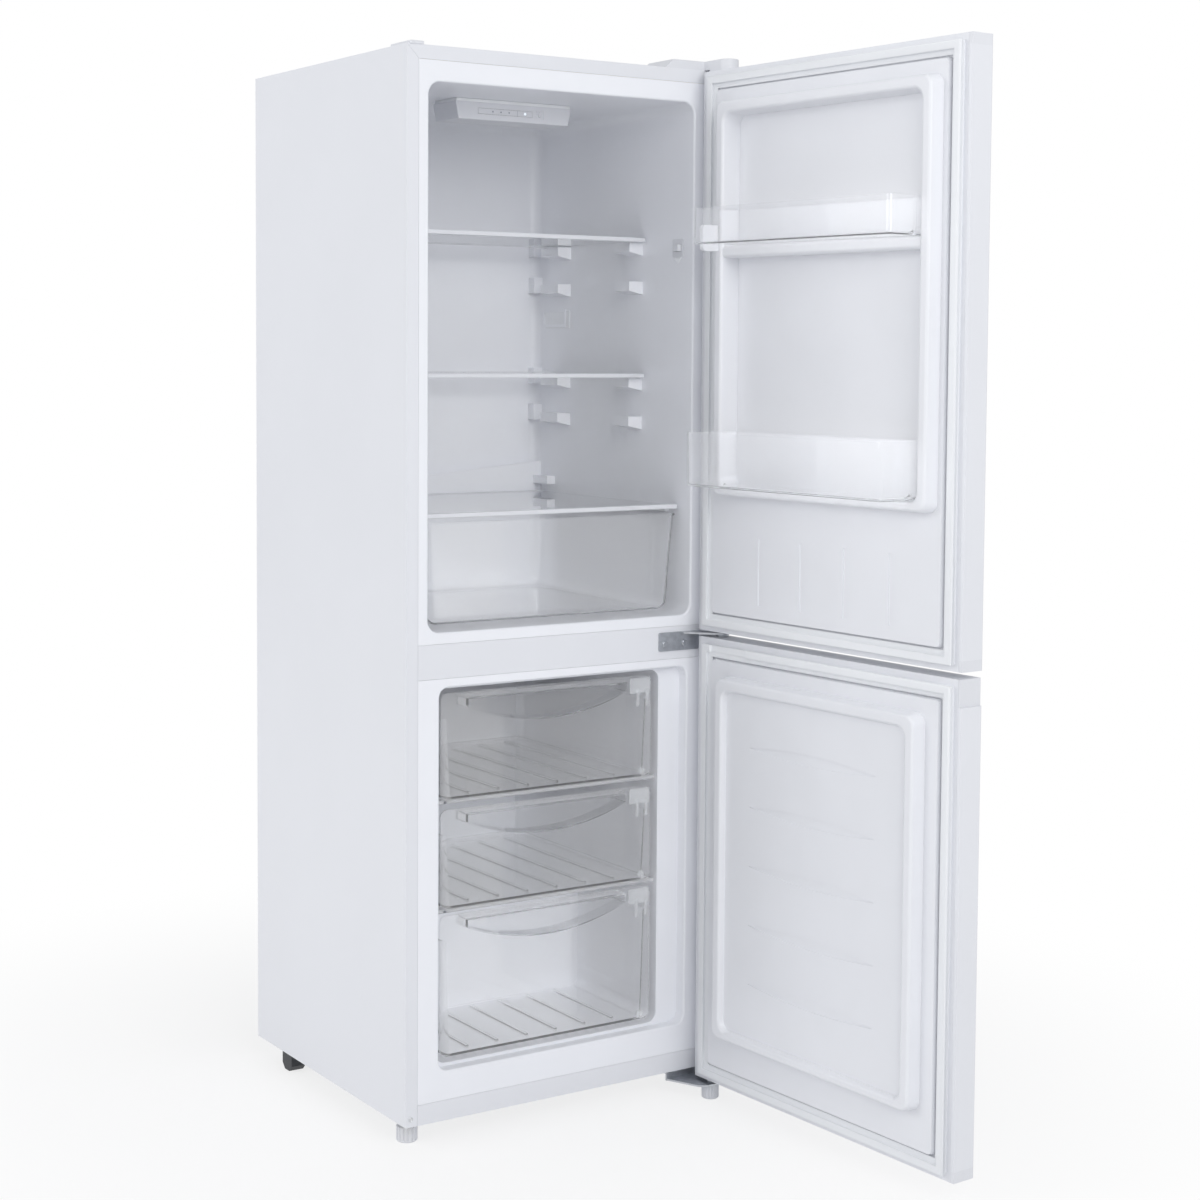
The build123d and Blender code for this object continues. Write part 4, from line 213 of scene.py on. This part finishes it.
class Net:
    """The node tree of one new material or world."""

    def __init__(self, name, group=None):
        self.owner = (bpy.data.materials if group is None else group).new(name)
        self.owner.use_nodes = True
        self.tree = self.owner.node_tree
        self.tree.nodes.clear()

    def add(self, kind, settings=None, sockets=None):
        """A node with its settings made first, then its sockets filled with values or links."""
        node = self.tree.nodes.new(kind)
        for name, value in (settings or {}).items():
            setattr(node, name, value)
        for name, value in (sockets or {}).items():
            if isinstance(value, Signal):
                self.tree.links.new(value.socket, node.inputs[name])
            else:
                node.inputs[name].default_value = value
        return node

    def node(self, kind, settings=None, sockets=None, output=0):
        """One output of a new node."""
        return Signal(self, self.add(kind, settings, sockets).outputs[output])

    def maths(self, operation, first, second):
        return self.node("ShaderNodeMath", {"operation": operation}, {0: first, 1: second})

    def place(self):
        """Object coordinates, which are metres in the refrigerator's own frame."""
        return self.node("ShaderNodeTexCoord", output="Object")

    def axes(self):
        """The three object coordinates apart."""
        split = self.add("ShaderNodeSeparateXYZ", None, {"Vector": self.place()})
        return [Signal(self, output) for output in split.outputs]

    def rays(self, *names):
        """Which kinds of ray see the surface, such as the camera's own."""
        path = self.add("ShaderNodeLightPath")
        return [Signal(self, path.outputs[f"Is {name} Ray"]) for name in names]

    def noise(self, size, detail=2.0, stretch=(1, 1, 1)):
        """Noise whose features are about this many metres across."""
        scaled = self.node("ShaderNodeVectorMath", {"operation": "MULTIPLY"},
                           {0: self.place(), 1: tuple(s / size for s in stretch)})
        return self.node("ShaderNodeTexNoise", None,
                         {"Vector": scaled, "Scale": 1.0, "Detail": detail})

    def cells(self, size, output):
        """Voronoi cells about this many metres across."""
        return self.node("ShaderNodeTexVoronoi", {"feature": "F1"},
                         {"Vector": self.place(), "Scale": 1 / size}, output)

    def mixed(self, share, first, second):
        """One colour turning into another as share goes from 0 to 1."""
        mix = self.add("ShaderNodeMix", {"data_type": "RGBA"}, {0: share})
        for index, colour in ((6, first), (7, second)):
            if isinstance(colour, Signal):
                self.tree.links.new(colour.socket, mix.inputs[index])
            else:
                mix.inputs[index].default_value = (*colour, 1)
        return Signal(self, mix.outputs[2])

    def drifting(self, drift, colour, share):
        """A colour that darkens to a share of itself where the drift is low."""
        darkest = darker(colour, share)
        return self.mixed(drift.rises(0.3, 0.7), darkest, colour)

    def bump(self, height, distance, strength):
        """A normal from a height between 0 and 1 that stands for this many metres."""
        return self.node("ShaderNodeBump", None,
                         {"Height": height, "Distance": distance, "Strength": strength})

    def principled(self, sockets):
        """A principled shader; the sockets' names have underscores for spaces."""
        named = {name.replace("_", " "): value for name, value in sockets.items()}
        return self.node("ShaderNodeBsdfPrincipled", None, named)

    def show(self, shader, output="ShaderNodeOutputMaterial"):
        """The material or world with this shader as its surface."""
        self.add(output, None, {"Surface": shader})
        return self.owner

    def finish(self, **sockets):
        """An opaque finish."""
        return self.show(self.principled(sockets))

    def shiny_through(self, **sockets):
        """A clear finish that lets lamps through."""
        clear = self.node("ShaderNodeBsdfTransparent", None, {"Color": CLEAR_SHADOW})
        shadow, = self.rays("Shadow")
        return self.show(self.node("ShaderNodeMixShader", None,
                                   {0: shadow, 1: self.principled(sockets), 2: clear}))


# ---------------------------------------------------------------- finishes

def darker(colour, share):
    return tuple(value * share for value in colour)


def painted_steel(colour):
    """Sprayed enamel on sheet: a fine orange peel and a faint drift in tone."""
    net = Net("painted_steel")
    drift = net.noise(size=0.22, detail=3)
    peel = net.noise(size=0.0016, detail=3)
    grain = net.noise(size=0.0005, detail=1)
    relief = peel * 0.8 + grain * 0.2
    return net.finish(Base_Color=net.drifting(drift, colour, share=0.985),
                      Roughness=0.34 + peel * 0.10, IOR=1.5,
                      Normal=net.bump(relief, distance=0.00010, strength=0.55))


def liner_plastic(name, colour):
    """Vacuum formed sheet: glossy, with a slow waviness where it was drawn over the mould."""
    net = Net(name)
    drift = net.noise(size=0.13)
    wave = net.noise(size=0.045)
    speck = net.noise(size=0.0009)
    relief = wave * 0.9 + speck * 0.1
    return net.finish(Base_Color=net.drifting(drift, colour, share=0.98),
                      Roughness=0.27 + drift * 0.08 + speck * 0.05, IOR=1.53,
                      Normal=net.bump(relief, distance=0.0004, strength=0.5))


def cap_plastic(colour):
    """Moulded plastic with a fine spark eroded grain."""
    net = Net("cap_plastic")
    drift = net.noise(size=0.09)
    grain = net.noise(size=0.0007, detail=3)
    return net.finish(Base_Color=net.drifting(drift, colour, share=0.98),
                      Roughness=0.40 + grain * 0.12, IOR=1.5,
                      Normal=net.bump(grain, distance=0.00008, strength=0.6))


def clear_plastic():
    """Clear moulded polystyrene with faint flow lines."""
    net = Net("clear_plastic")
    flow = net.noise(size=0.05, stretch=(1, 1, 0.4))
    return net.shiny_through(Base_Color=(0.985, 0.988, 0.995, 1), Roughness=0.03 + flow * 0.03,
                             IOR=1.13, Transmission_Weight=0.93,
                             Coat_Weight=1.0, Coat_Roughness=0.04,
                             Normal=net.bump(flow, distance=0.0006, strength=0.35))


def shelf_glass():
    """Tempered glass, clear with a breath of green."""
    net = Net("shelf_glass")
    roller = net.noise(size=0.06, detail=1, stretch=(0.3, 1, 1))
    return net.shiny_through(Base_Color=(0.975, 0.985, 0.982, 1), Roughness=0.01 + roller * 0.01,
                             IOR=1.3, Transmission_Weight=0.97,
                             Coat_Weight=0.6, Coat_Roughness=0.01,
                             Normal=net.bump(roller, distance=0.0003, strength=0.2))


def divider_plastic():
    """Milky clear plastic of the shelves between the freezer drawers."""
    net = Net("divider_plastic")
    flow = net.noise(size=0.05)
    return net.shiny_through(Base_Color=(0.95, 0.955, 0.97, 1), Roughness=0.12 + flow * 0.06,
                             IOR=1.13, Transmission_Weight=0.6,
                             Coat_Weight=1.0, Coat_Roughness=0.08,
                             Normal=net.bump(flow, distance=0.0004, strength=0.3))


def gasket_vinyl(colour):
    """Soft matt vinyl, a little greyer in random patches."""
    net = Net("gasket_vinyl")
    drift = net.noise(size=0.05)
    grain = net.noise(size=0.0006)
    return net.finish(Base_Color=net.drifting(drift, colour, share=0.96),
                      Roughness=0.5 + grain * 0.15, IOR=1.48,
                      Normal=net.bump(grain, distance=0.00006, strength=0.5))


def foam():
    """Insulating foam: fine closed cells, in patches of a darker and a paler yellow."""
    net = Net("foam")
    cell = net.cells(0.0012, "Distance")
    drift = net.noise(size=0.03, detail=3)
    return net.finish(Base_Color=net.mixed(drift, linear(222, 205, 160), linear(236, 224, 188)),
                      Roughness=0.85 + cell * 0.1,
                      Normal=net.bump(cell, distance=0.0003, strength=0.8))


def metal(name, colour, roughness, patch, stretch=(1, 1, 1)):
    """Bare metal whose shine varies in patches of this size."""
    net = Net(name)
    spangle = net.noise(patch, detail=3, stretch=stretch)
    fine = net.noise(patch / 12, stretch=stretch)
    return net.finish(Base_Color=net.drifting(spangle, colour, share=0.86), Metallic=1.0,
                      Roughness=roughness + spangle * 0.14,
                      Normal=net.bump(fine, distance=0.00005, strength=0.5))


def galvanised_sheet():
    """Hot dipped zinc with its spangle of crystals."""
    net = Net("galvanised_sheet")
    crystal = net.node("ShaderNodeSeparateColor", None, {"Color": net.cells(0.011, "Color")})
    fine = net.noise(size=0.0012)
    return net.finish(Base_Color=net.mixed(crystal, linear(168, 172, 176), linear(198, 201, 204)),
                      Metallic=0.9, Roughness=0.36 + crystal * 0.16,
                      Normal=net.bump(fine, distance=0.00005, strength=0.4))


def dull(name, colour, roughness, grain_size, depth):
    """A plain moulded or painted finish with a grain."""
    net = Net(name)
    grain = net.noise(grain_size, detail=3)
    drift = net.noise(size=0.04)
    return net.finish(Base_Color=net.drifting(drift, colour, share=0.8),
                      Roughness=roughness + grain * 0.12,
                      Normal=net.bump(grain, depth, strength=0.6))


def circuit_board():
    """Green lacquer over faint copper tracks."""
    net = Net("circuit_board")
    track = net.node("ShaderNodeTexBrick", None,
                     {"Vector": net.place(), "Scale": 180.0, "Mortar Size": 0.03}, "Fac")
    return net.finish(Base_Color=net.mixed(track, linear(22, 92, 48), linear(48, 128, 70)),
                      Roughness=0.3 + track * 0.1)


def display_lens(colour, strength):
    """The control panel's window: a printed seam and a row of marks, the first of them lit."""
    net = Net("display_lens")
    x, _, z = net.axes()
    lit_x, level, pitch, radius = 0.0018, 1.3602, 0.01275, 0.0011
    printed = (2, 3, 4)
    # The seam fades out between these squares of the distance from its middle
    seam_x, seam_edge, seam_shade = -0.0104, (1.6e-7, 4e-7), 0.4

    def away(number):
        """The distance from a mark, counted to the left of the lit one."""
        return ((x - (lit_x - number * pitch)) ** 2 + (z - level) ** 2) ** 0.5

    marks = (1 - ((x - seam_x) ** 2).rises(*seam_edge)) * seam_shade
    for number in printed:
        marks = marks + (1 - away(number).rises(radius * 0.8, radius * 1.2))
    lit = 1 - away(0).rises(radius * 0.9, radius * 1.5)
    frost = net.noise(size=0.0008)
    plain = net.mixed(frost, darker(colour, 0.97), colour)
    return net.finish(Base_Color=net.mixed(marks, plain, linear(150, 154, 166)),
                      Roughness=0.25 + frost * 0.1, IOR=1.5,
                      Emission_Color=net.mixed(lit, (0, 0, 0), (0.75, 0.88, 1.0)),
                      Emission_Strength=strength)


def dress_nodes():
    """Gives every carried-over solid its finish by the record's material slot."""
    colours = bpy.context.scene.fridge_colours
    white, liner = tuple(colours.moulding), tuple(colours.liner)
    finishes = {
        "painted_steel": painted_steel(tuple(colours.steel)),
        "liner_plastic": liner_plastic("liner_plastic", liner),
        "cap_plastic": cap_plastic(white),
        "clear_plastic": clear_plastic(),
        "shelf_glass": shelf_glass(),
        "gasket_vinyl": gasket_vinyl(tuple(colours.seal)),
        "foam": foam(),
        "zinc_sheet": metal("zinc_sheet", linear(196, 199, 204), roughness=0.26, patch=0.006),
        "galvanised_sheet": galvanised_sheet(),
        "dark_plastic": dull("dark_plastic", linear(52, 54, 58), roughness=0.42,
                             grain_size=0.0008, depth=0.00008),
        "black_enamel": dull("black_enamel", linear(28, 28, 30), roughness=0.28,
                             grain_size=0.0015, depth=0.00010),
        "black_rubber": dull("black_rubber", linear(34, 34, 35), roughness=0.62,
                             grain_size=0.0010, depth=0.00010),
        "copper": metal("copper", linear(214, 140, 104), roughness=0.24, patch=0.010),
        "aluminium": metal("aluminium", linear(205, 207, 210), roughness=0.34, patch=0.004,
                           stretch=(0.1, 1, 1)),
        "circuit_board": circuit_board(),
    }
    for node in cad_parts.values():
        for slot in node.material_slots:
            name = slot.material.name.split(".")[0]
            if name not in finishes:
                raise RuntimeError("no finish for the slot " + name)
            slot.material = finishes[name]
    # Painted shade: the door liners get a darker copy of the liner plastic, standing in for the shade on
    # their inner faces
    door_liner = liner_plastic("door_liner", darker(liner, DOOR_LINER_PAINTED_SHADE_SHARE))
    special = {
        "control_lenses": display_lens(white, colours.lamp),
        "freezer_shelves": divider_plastic(),
        "upper_door_liner": door_liner,
        "lower_door_liner": door_liner,
    }
    for name, finish in special.items():
        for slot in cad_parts[name].material_slots:
            slot.material = finish


# ---------------------------------------------------------------- modelling

def select_none():
    """Leaves edit mode and deselects everything."""
    if bpy.context.mode != "OBJECT":
        bpy.ops.object.mode_set(mode="OBJECT")
    bpy.ops.object.select_all(action="DESELECT")


def begin(name):
    """Names the primitive that was just added and opens it in edit mode."""
    piece = bpy.context.object
    piece.name = name
    piece.data.name = name
    bpy.ops.object.transform_apply(location=True, rotation=True, scale=True)
    bpy.ops.object.mode_set(mode="EDIT")
    return piece


def pick(piece, kind, test):
    """Selects in edit mode the edges or faces that pass the test."""
    bpy.ops.mesh.select_all(action="DESELECT")
    bpy.ops.mesh.select_mode(type=kind)
    mesh = bmesh.from_edit_mesh(piece.data)
    for element in mesh.edges if kind == "EDGE" else mesh.faces:
        if test(element):
            element.select_set(True)
    mesh.select_flush_mode()
    bmesh.update_edit_mesh(piece.data)


def step_in(width, shift):
    """Insets the selected faces and moves them."""
    bpy.ops.mesh.inset(thickness=width)
    bpy.ops.transform.translate(value=shift)


def soften(width):
    """Rounds all edges of the mesh in edit mode."""
    bpy.ops.mesh.select_all(action="SELECT")
    bpy.ops.mesh.bevel(offset=width, segments=2, affect="EDGES")


def complete(piece, body, slot, angle=math.radians(40)):
    """Closes a piece: outward faces, smooth shading, the frame's own plain material of its slot,
    its body and its slot."""
    bpy.ops.mesh.select_all(action="SELECT")
    bpy.ops.mesh.remove_doubles(threshold=1e-6)
    bpy.ops.mesh.normals_make_consistent(inside=False)
    bpy.ops.object.mode_set(mode="OBJECT")
    bpy.ops.object.shade_smooth_by_angle(angle=angle)
    piece.data.materials.clear()
    piece.data.materials.append(bpy.data.materials[slot])
    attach(piece, body)


def turned(piece, pivot, angle):
    """Turns a finished mesh about an upright axis and leaves its object at the origin."""
    turn = Matrix.Translation(pivot) @ Matrix.Rotation(angle, 4, "Z") @ Matrix.Translation(-pivot)
    piece.data.transform(turn)


def add_box(low, high):
    """A new box, given by two corners."""
    low, high = Vector(low), Vector(high)
    bpy.ops.mesh.primitive_cube_add(size=1, location=(low + high) / 2)
    bpy.context.object.scale = high - low
    return bpy.context.object


def joined_boxes(name, corners, round_off):
    """Boxes, each given by two corners, as one mesh with softened edges, left in edit mode."""
    select_none()
    made = [add_box(low, high) for low, high in corners]
    for piece in made:
        piece.select_set(True)
    if len(made) > 1:
        bpy.ops.object.join()
    piece = begin(name)
    soften(round_off)
    return piece


def disc(name, middle, radius, thickness, vertices):
    """A disc that faces the front, left in edit mode."""
    select_none()
    bpy.ops.mesh.primitive_cylinder_add(vertices=vertices, radius=radius, depth=thickness,
                                        location=middle, rotation=FACING_FRONT)
    return begin(name)


def carve(piece, box):
    """Cuts a box, given by two corners, out of a finished piece."""
    select_none()
    cutter = add_box(*box)
    bpy.ops.object.transform_apply(location=True, rotation=True, scale=True)
    select_none()
    bpy.context.view_layer.objects.active = piece
    piece.select_set(True)
    cut = piece.modifiers.new("pocket", "BOOLEAN")
    cut.object = cutter
    cut.solver = "EXACT"
    bpy.ops.object.modifier_apply(modifier=cut.name)
    bpy.data.objects.remove(cutter)


def seal(name, node, body, ends, pocket=None):
    """One door's magnetic seal: bellows at the foot, the magnet's bulb on top, mitred corners."""
    sizes = bpy.context.scene.fridge_seals
    x0, x1 = DOOR_LEFT + sizes.margin, DOOR_RIGHT - sizes.hinge_margin
    z0, z1 = ends[0] + sizes.end_margin, ends[1] - sizes.end_margin
    wide, high = x1 - x0, z1 - z0
    middle = Vector(((x0 + x1) / 2, DOOR_INNER, (z0 + z1) / 2))
    select_none()
    bpy.ops.mesh.primitive_plane_add(size=1, location=middle, rotation=FACING_FRONT)
    bpy.context.object.scale = (wide, high, 1)
    piece = begin(name)
    bpy.ops.mesh.delete(type="ONLY_FACE")
    bpy.ops.mesh.select_all(action="SELECT")
    inset, rise = 0.0, 0.0
    for number, (across, up) in enumerate(SEAL_PROFILE):
        next_inset = across / SEAL_PARTS[0] * sizes.width
        next_rise = up / SEAL_PARTS[1] * sizes.height
        if number:
            bpy.ops.mesh.extrude_region_move()
        narrower = [(side - 2 * next_inset) / (side - 2 * inset) for side in (wide, high)]
        bpy.ops.transform.resize(value=(narrower[0], 1, narrower[1]), center_override=middle)
        bpy.ops.transform.translate(value=(0, next_rise - rise, 0))
        inset, rise = next_inset, next_rise
    # The first and the last ring both lie on the door, and a bridge between them closes the seal
    foot = DOOR_INNER + 1e-5
    pick(piece, "EDGE", lambda edge: len(edge.link_faces) == 1
         and all(corner.co.y < foot for corner in edge.verts))
    bpy.ops.mesh.bridge_edge_loops()
    complete(piece, body, "gasket_vinyl", math.radians(50))
    if pocket:
        carve(piece, pocket)
    turned(piece, HINGE, sizes.door_angle)
    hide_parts(node)


def sink_front(piece, face, *steps):
    """Insets the faces in front of a depth, once for each width, and moves each one back."""
    pick(piece, "FACE", lambda plate: plate.calc_center_median().y < face)
    for width, back in steps:
        step_in(width, (0, back, 0))


def stop_clip(drawer, top):
    """The stop at the upper right corner of a drawer's front: a plate with two prongs."""
    left, right = 0.110, 0.143
    plate_low, plate_high = top - 0.024, top - 0.003
    prongs, half_prong, prong_proud = (0.123, 0.138), 0.0022, 0.001
    prong_low, prong_high = top - 0.042, top - 0.018
    front, back = DRAWER_FACE - 0.002, DRAWER_FACE + 0.0005
    corners = [((left, front, plate_low), (right, back, plate_high))]
    corners += [((x - half_prong, front - prong_proud, prong_low), (x + half_prong, back, prong_high))
                for x in prongs]
    clip = joined_boxes(drawer + "_stop", corners, round_off=0.0009)
    complete(clip, drawer, "clear_plastic")


def corner_ring(drawer, bottom):
    """The small ring moulded at the lower right corner of a drawer's front."""
    middle = (0.130, DRAWER_FACE - 0.0005, bottom + 0.0075)
    ring = disc(drawer + "_ring", middle, radius=0.0055, thickness=0.003, vertices=32)
    sink_front(ring, DRAWER_FACE - 0.0019, (0.0022, 0.0016))
    complete(ring, drawer, "clear_plastic")


def shelf_pin(name, height):
    """The dark pin at the left end of a shelf between two drawers."""
    middle = (-0.1795, SHELF_FACE - 0.0005, height)
    pin = disc(name, middle, radius=0.0017, thickness=0.002, vertices=24)
    complete(pin, "cabinet", "dark_plastic")


def flange_screw():
    """The screw at the lower left corner of the cabinet's front, with its recess."""
    middle = (-0.2425, 0, 0.0425)
    screw = disc("flange_screw", middle, radius=0.0032, thickness=0.0016, vertices=40)
    sink_front(screw, -0.0007, (0.0006, -0.0004), (0.0012, 0.0009))
    complete(screw, "cabinet", "zinc_sheet")


def wall_triangle():
    """The small raised triangle below the light switch."""
    height, flatness = 1.165, 0.52
    select_none()
    bpy.ops.mesh.primitive_cylinder_add(vertices=3, radius=0.0115, depth=0.0016, location=(0, 0, 0))
    piece = bpy.context.object
    piece.rotation_euler = (math.radians(-90), 0, math.radians(-90))
    piece.scale = (1, flatness, 1)
    piece.location = (WALL_FRONT_X, WALL_FRONT_Y, height)
    begin("wall_triangle")
    soften(0.0003)
    complete(piece, "cabinet", "liner_plastic")


def wall_frame():
    """The low raised frame on the right wall between the shelves, at the back."""
    front, back, bottom, top = 0.311, 0.378, 1.0715, 1.0975
    line, proud = 0.0022, 0.0008
    wall = wall_x((front + back) / 2)
    select_none()
    add_box((wall - proud, front, bottom), (wall + proud, back, top))
    piece = begin("wall_frame")
    face = wall - proud / 2
    pick(piece, "FACE", lambda plate: plate.calc_center_median().x < face)
    step_in(line, (0.7 * proud, 0, 0))
    soften(0.00025)
    complete(piece, "cabinet", "liner_plastic")


def control_collar():
    """The rim that closes the control box against the ceiling."""
    corners = [((-0.1055, 0.1285, 1.3715), (0.0745, 0.1885, 1.3759))]
    collar = joined_boxes("control_collar", corners, round_off=0.0005)
    complete(collar, "cabinet", "cap_plastic")


# ---------------------------------------------------------------- studio

def lay_floor():
    """A wide pale floor that keeps a soft shadow and turns white away from the refrigerator."""
    select_none()
    bpy.ops.mesh.primitive_circle_add(vertices=96, radius=9.0, fill_type="NGON", location=(0, 0, 0))
    floor = begin("floor")
    bpy.ops.mesh.select_all(action="SELECT")
    bpy.ops.mesh.inset(thickness=4.0)
    bpy.ops.object.mode_set(mode="OBJECT")
    middle_y, shadow_ends, least_white = 0.2, (0.3, 1.3), 0.76
    net = Net("floor_paper")
    x, y, _ = net.axes()
    depth = y - middle_y
    away = (x * x + depth * depth) ** 0.5
    tone = net.mixed(net.noise(size=0.004), (0.86, 0.86, 0.87), (0.88, 0.88, 0.89))
    paper = net.node("ShaderNodeBsdfDiffuse", None, {"Color": tone})
    white = net.node("ShaderNodeEmission", None, {"Color": WHITE, "Strength": 1.0})
    camera, glossy, transmission = net.rays("Camera", "Glossy", "Transmission")
    direct = (camera + glossy + transmission).rises(0.0, 1.0)
    share = direct * (least_white + (1 - least_white) * away.rises(*shadow_ends))
    surface = net.node("ShaderNodeMixShader", None, {0: share, 1: paper, 2: white})
    floor.data.materials.append(net.show(surface))


def area_light(name, place, target, size, power):
    """A square soft light that faces a point."""
    bpy.ops.object.light_add(type="AREA", location=place)
    lamp = bpy.context.object
    lamp.name = name
    lamp.data.size = size
    lamp.data.energy = power
    direction = Vector(target) - Vector(place)
    lamp.rotation_euler = direction.to_track_quat("-Z", "Y").to_euler()


def light_air(strength):
    """Even light from all around, and white where the camera or a clear piece sees it."""
    net = Net("air", bpy.data.worlds)
    seen = net.maths("MAXIMUM", *net.rays("Camera", "Transmission"))
    dim = net.node("ShaderNodeBackground", None, {"Color": AIR_COLOUR, "Strength": strength})
    white = net.node("ShaderNodeBackground", None, {"Color": WHITE, "Strength": 1.0})
    mix = net.node("ShaderNodeMixShader", None, {0: seen, 1: dim, 2: white})
    bpy.context.scene.world = net.show(mix, "ShaderNodeOutputWorld")


def aim_camera():
    """The camera where the photograph was taken from."""
    yaw, pitch, roll = (math.radians(angle) for angle in (YAW, PITCH, ROLL))
    ahead = Vector((math.sin(yaw) * math.cos(pitch), math.cos(yaw) * math.cos(pitch),
                    -math.sin(pitch)))
    level = ahead.cross(Vector((0, 0, 1))).normalized()
    above = level.cross(ahead)
    right = math.cos(roll) * level + math.sin(roll) * above
    up = -math.sin(roll) * level + math.cos(roll) * above
    bpy.ops.object.camera_add(location=EYE)
    camera = bpy.context.object
    axes = Matrix((right, up, -ahead)).transposed().to_4x4()
    camera.matrix_world = Matrix.Translation(EYE) @ axes
    camera.data.sensor_width = SENSOR_MM
    camera.data.lens = SENSOR_MM * FOCAL_LENGTH / PHOTO_SIDE
    camera.data.shift_y = HORIZON_SHIFT / PHOTO_SIDE
    camera.data.clip_end = FARTHEST_SEEN
    bpy.context.scene.camera = camera
    bpy.context.scene.view_settings.view_transform = "Standard"


# ---------------------------------------------------------------- operators

class FRIDGE_OT_finishes(bpy.types.Operator):
    """Gives the sheet, the liners, the glass and the clear drawers their finishes"""
    bl_idname = "fridge.finishes"
    bl_label = "Finishes"

    def execute(self, context):
        dress_nodes()
        return {"FINISHED"}


class FRIDGE_OT_seals(bpy.types.Operator):
    """Models the magnetic seals of both doors"""
    bl_idname = "fridge.seals"
    bl_label = "Door seals"

    def execute(self, context):
        seal("upper_seal", "upper_door_gasket", "upper_door", UPPER_DOOR)
        seal("lower_seal", "lower_door_gasket", "lower_door", LOWER_DOOR, BRACKET_POCKET)
        return {"FINISHED"}


class FRIDGE_OT_drawer_marks(bpy.types.Operator):
    """Adds the stops and rings of the freezer drawers and the pins of the shelves between them"""
    bl_idname = "fridge.drawer_marks"
    bl_label = "Drawer stops"

    def execute(self, context):
        for drawer, (bottom, top) in DRAWERS.items():
            stop_clip(drawer, top)
            corner_ring(drawer, bottom)
        for number, height in enumerate(SHELVES):
            shelf_pin(f"shelf_pin_{number}", height)
        return {"FINISHED"}


class FRIDGE_OT_cabinet_marks(bpy.types.Operator):
    """Adds the front screw, the raised marks on the right wall and the control box's rim"""
    bl_idname = "fridge.cabinet_marks"
    bl_label = "Cabinet marks"

    def execute(self, context):
        flange_screw()
        wall_triangle()
        wall_frame()
        control_collar()
        return {"FINISHED"}


class FRIDGE_OT_stage(bpy.types.Operator):
    """Lays the floor and sets the lights, the air and the camera"""
    bl_idname = "fridge.stage"
    bl_label = "Studio"

    def execute(self, context):
        studio = context.scene.fridge_studio
        lay_floor()
        for name, (place, target, size) in LAMPS.items():
            area_light(name, place, target, size, getattr(studio, name))
        light_air(studio.air)
        aim_camera()
        for name, count in BOUNCES.items():
            setattr(context.scene.cycles, name, count)
        return {"FINISHED"}


class FRIDGE_PT_panel(bpy.types.Panel):
    """Shows the seal sizes, the colours, the studio settings and the operators in the sidebar"""
    bl_label = "Refrigerator"
    bl_idname = "FRIDGE_PT_panel"
    bl_space_type = "VIEW_3D"
    bl_region_type = "UI"
    bl_category = "Refrigerator"

    def draw(self, context):
        for group, _ in GROUPS:
            box = self.layout.box()
            settings = getattr(context.scene, group)
            for name in settings.__annotations__:
                box.prop(settings, name)
        for operator in OPERATORS:
            self.layout.operator(operator.bl_idname)


OPERATORS = (FRIDGE_OT_finishes, FRIDGE_OT_seals, FRIDGE_OT_drawer_marks,
             FRIDGE_OT_cabinet_marks, FRIDGE_OT_stage)
GROUPS = (("fridge_seals", SealSizes), ("fridge_colours", FinishColours),
          ("fridge_studio", StudioSizes))


def register():
    for name, group in GROUPS:
        bpy.utils.register_class(group)
        setattr(bpy.types.Scene, name, PointerProperty(type=group))
    for operator in OPERATORS:
        bpy.utils.register_class(operator)
    bpy.utils.register_class(FRIDGE_PT_panel)


def unregister():
    bpy.utils.unregister_class(FRIDGE_PT_panel)
    for operator in OPERATORS:
        bpy.utils.unregister_class(operator)
    for name, group in GROUPS:
        delattr(bpy.types.Scene, name)
        bpy.utils.unregister_class(group)


def main():
    register()
    bpy.ops.fridge.finishes()
    bpy.ops.fridge.seals()
    bpy.ops.fridge.drawer_marks()
    bpy.ops.fridge.cabinet_marks()
    bpy.ops.fridge.stage()
    bpy.context.view_layer.update()


if __name__ == "__main__":
    main()
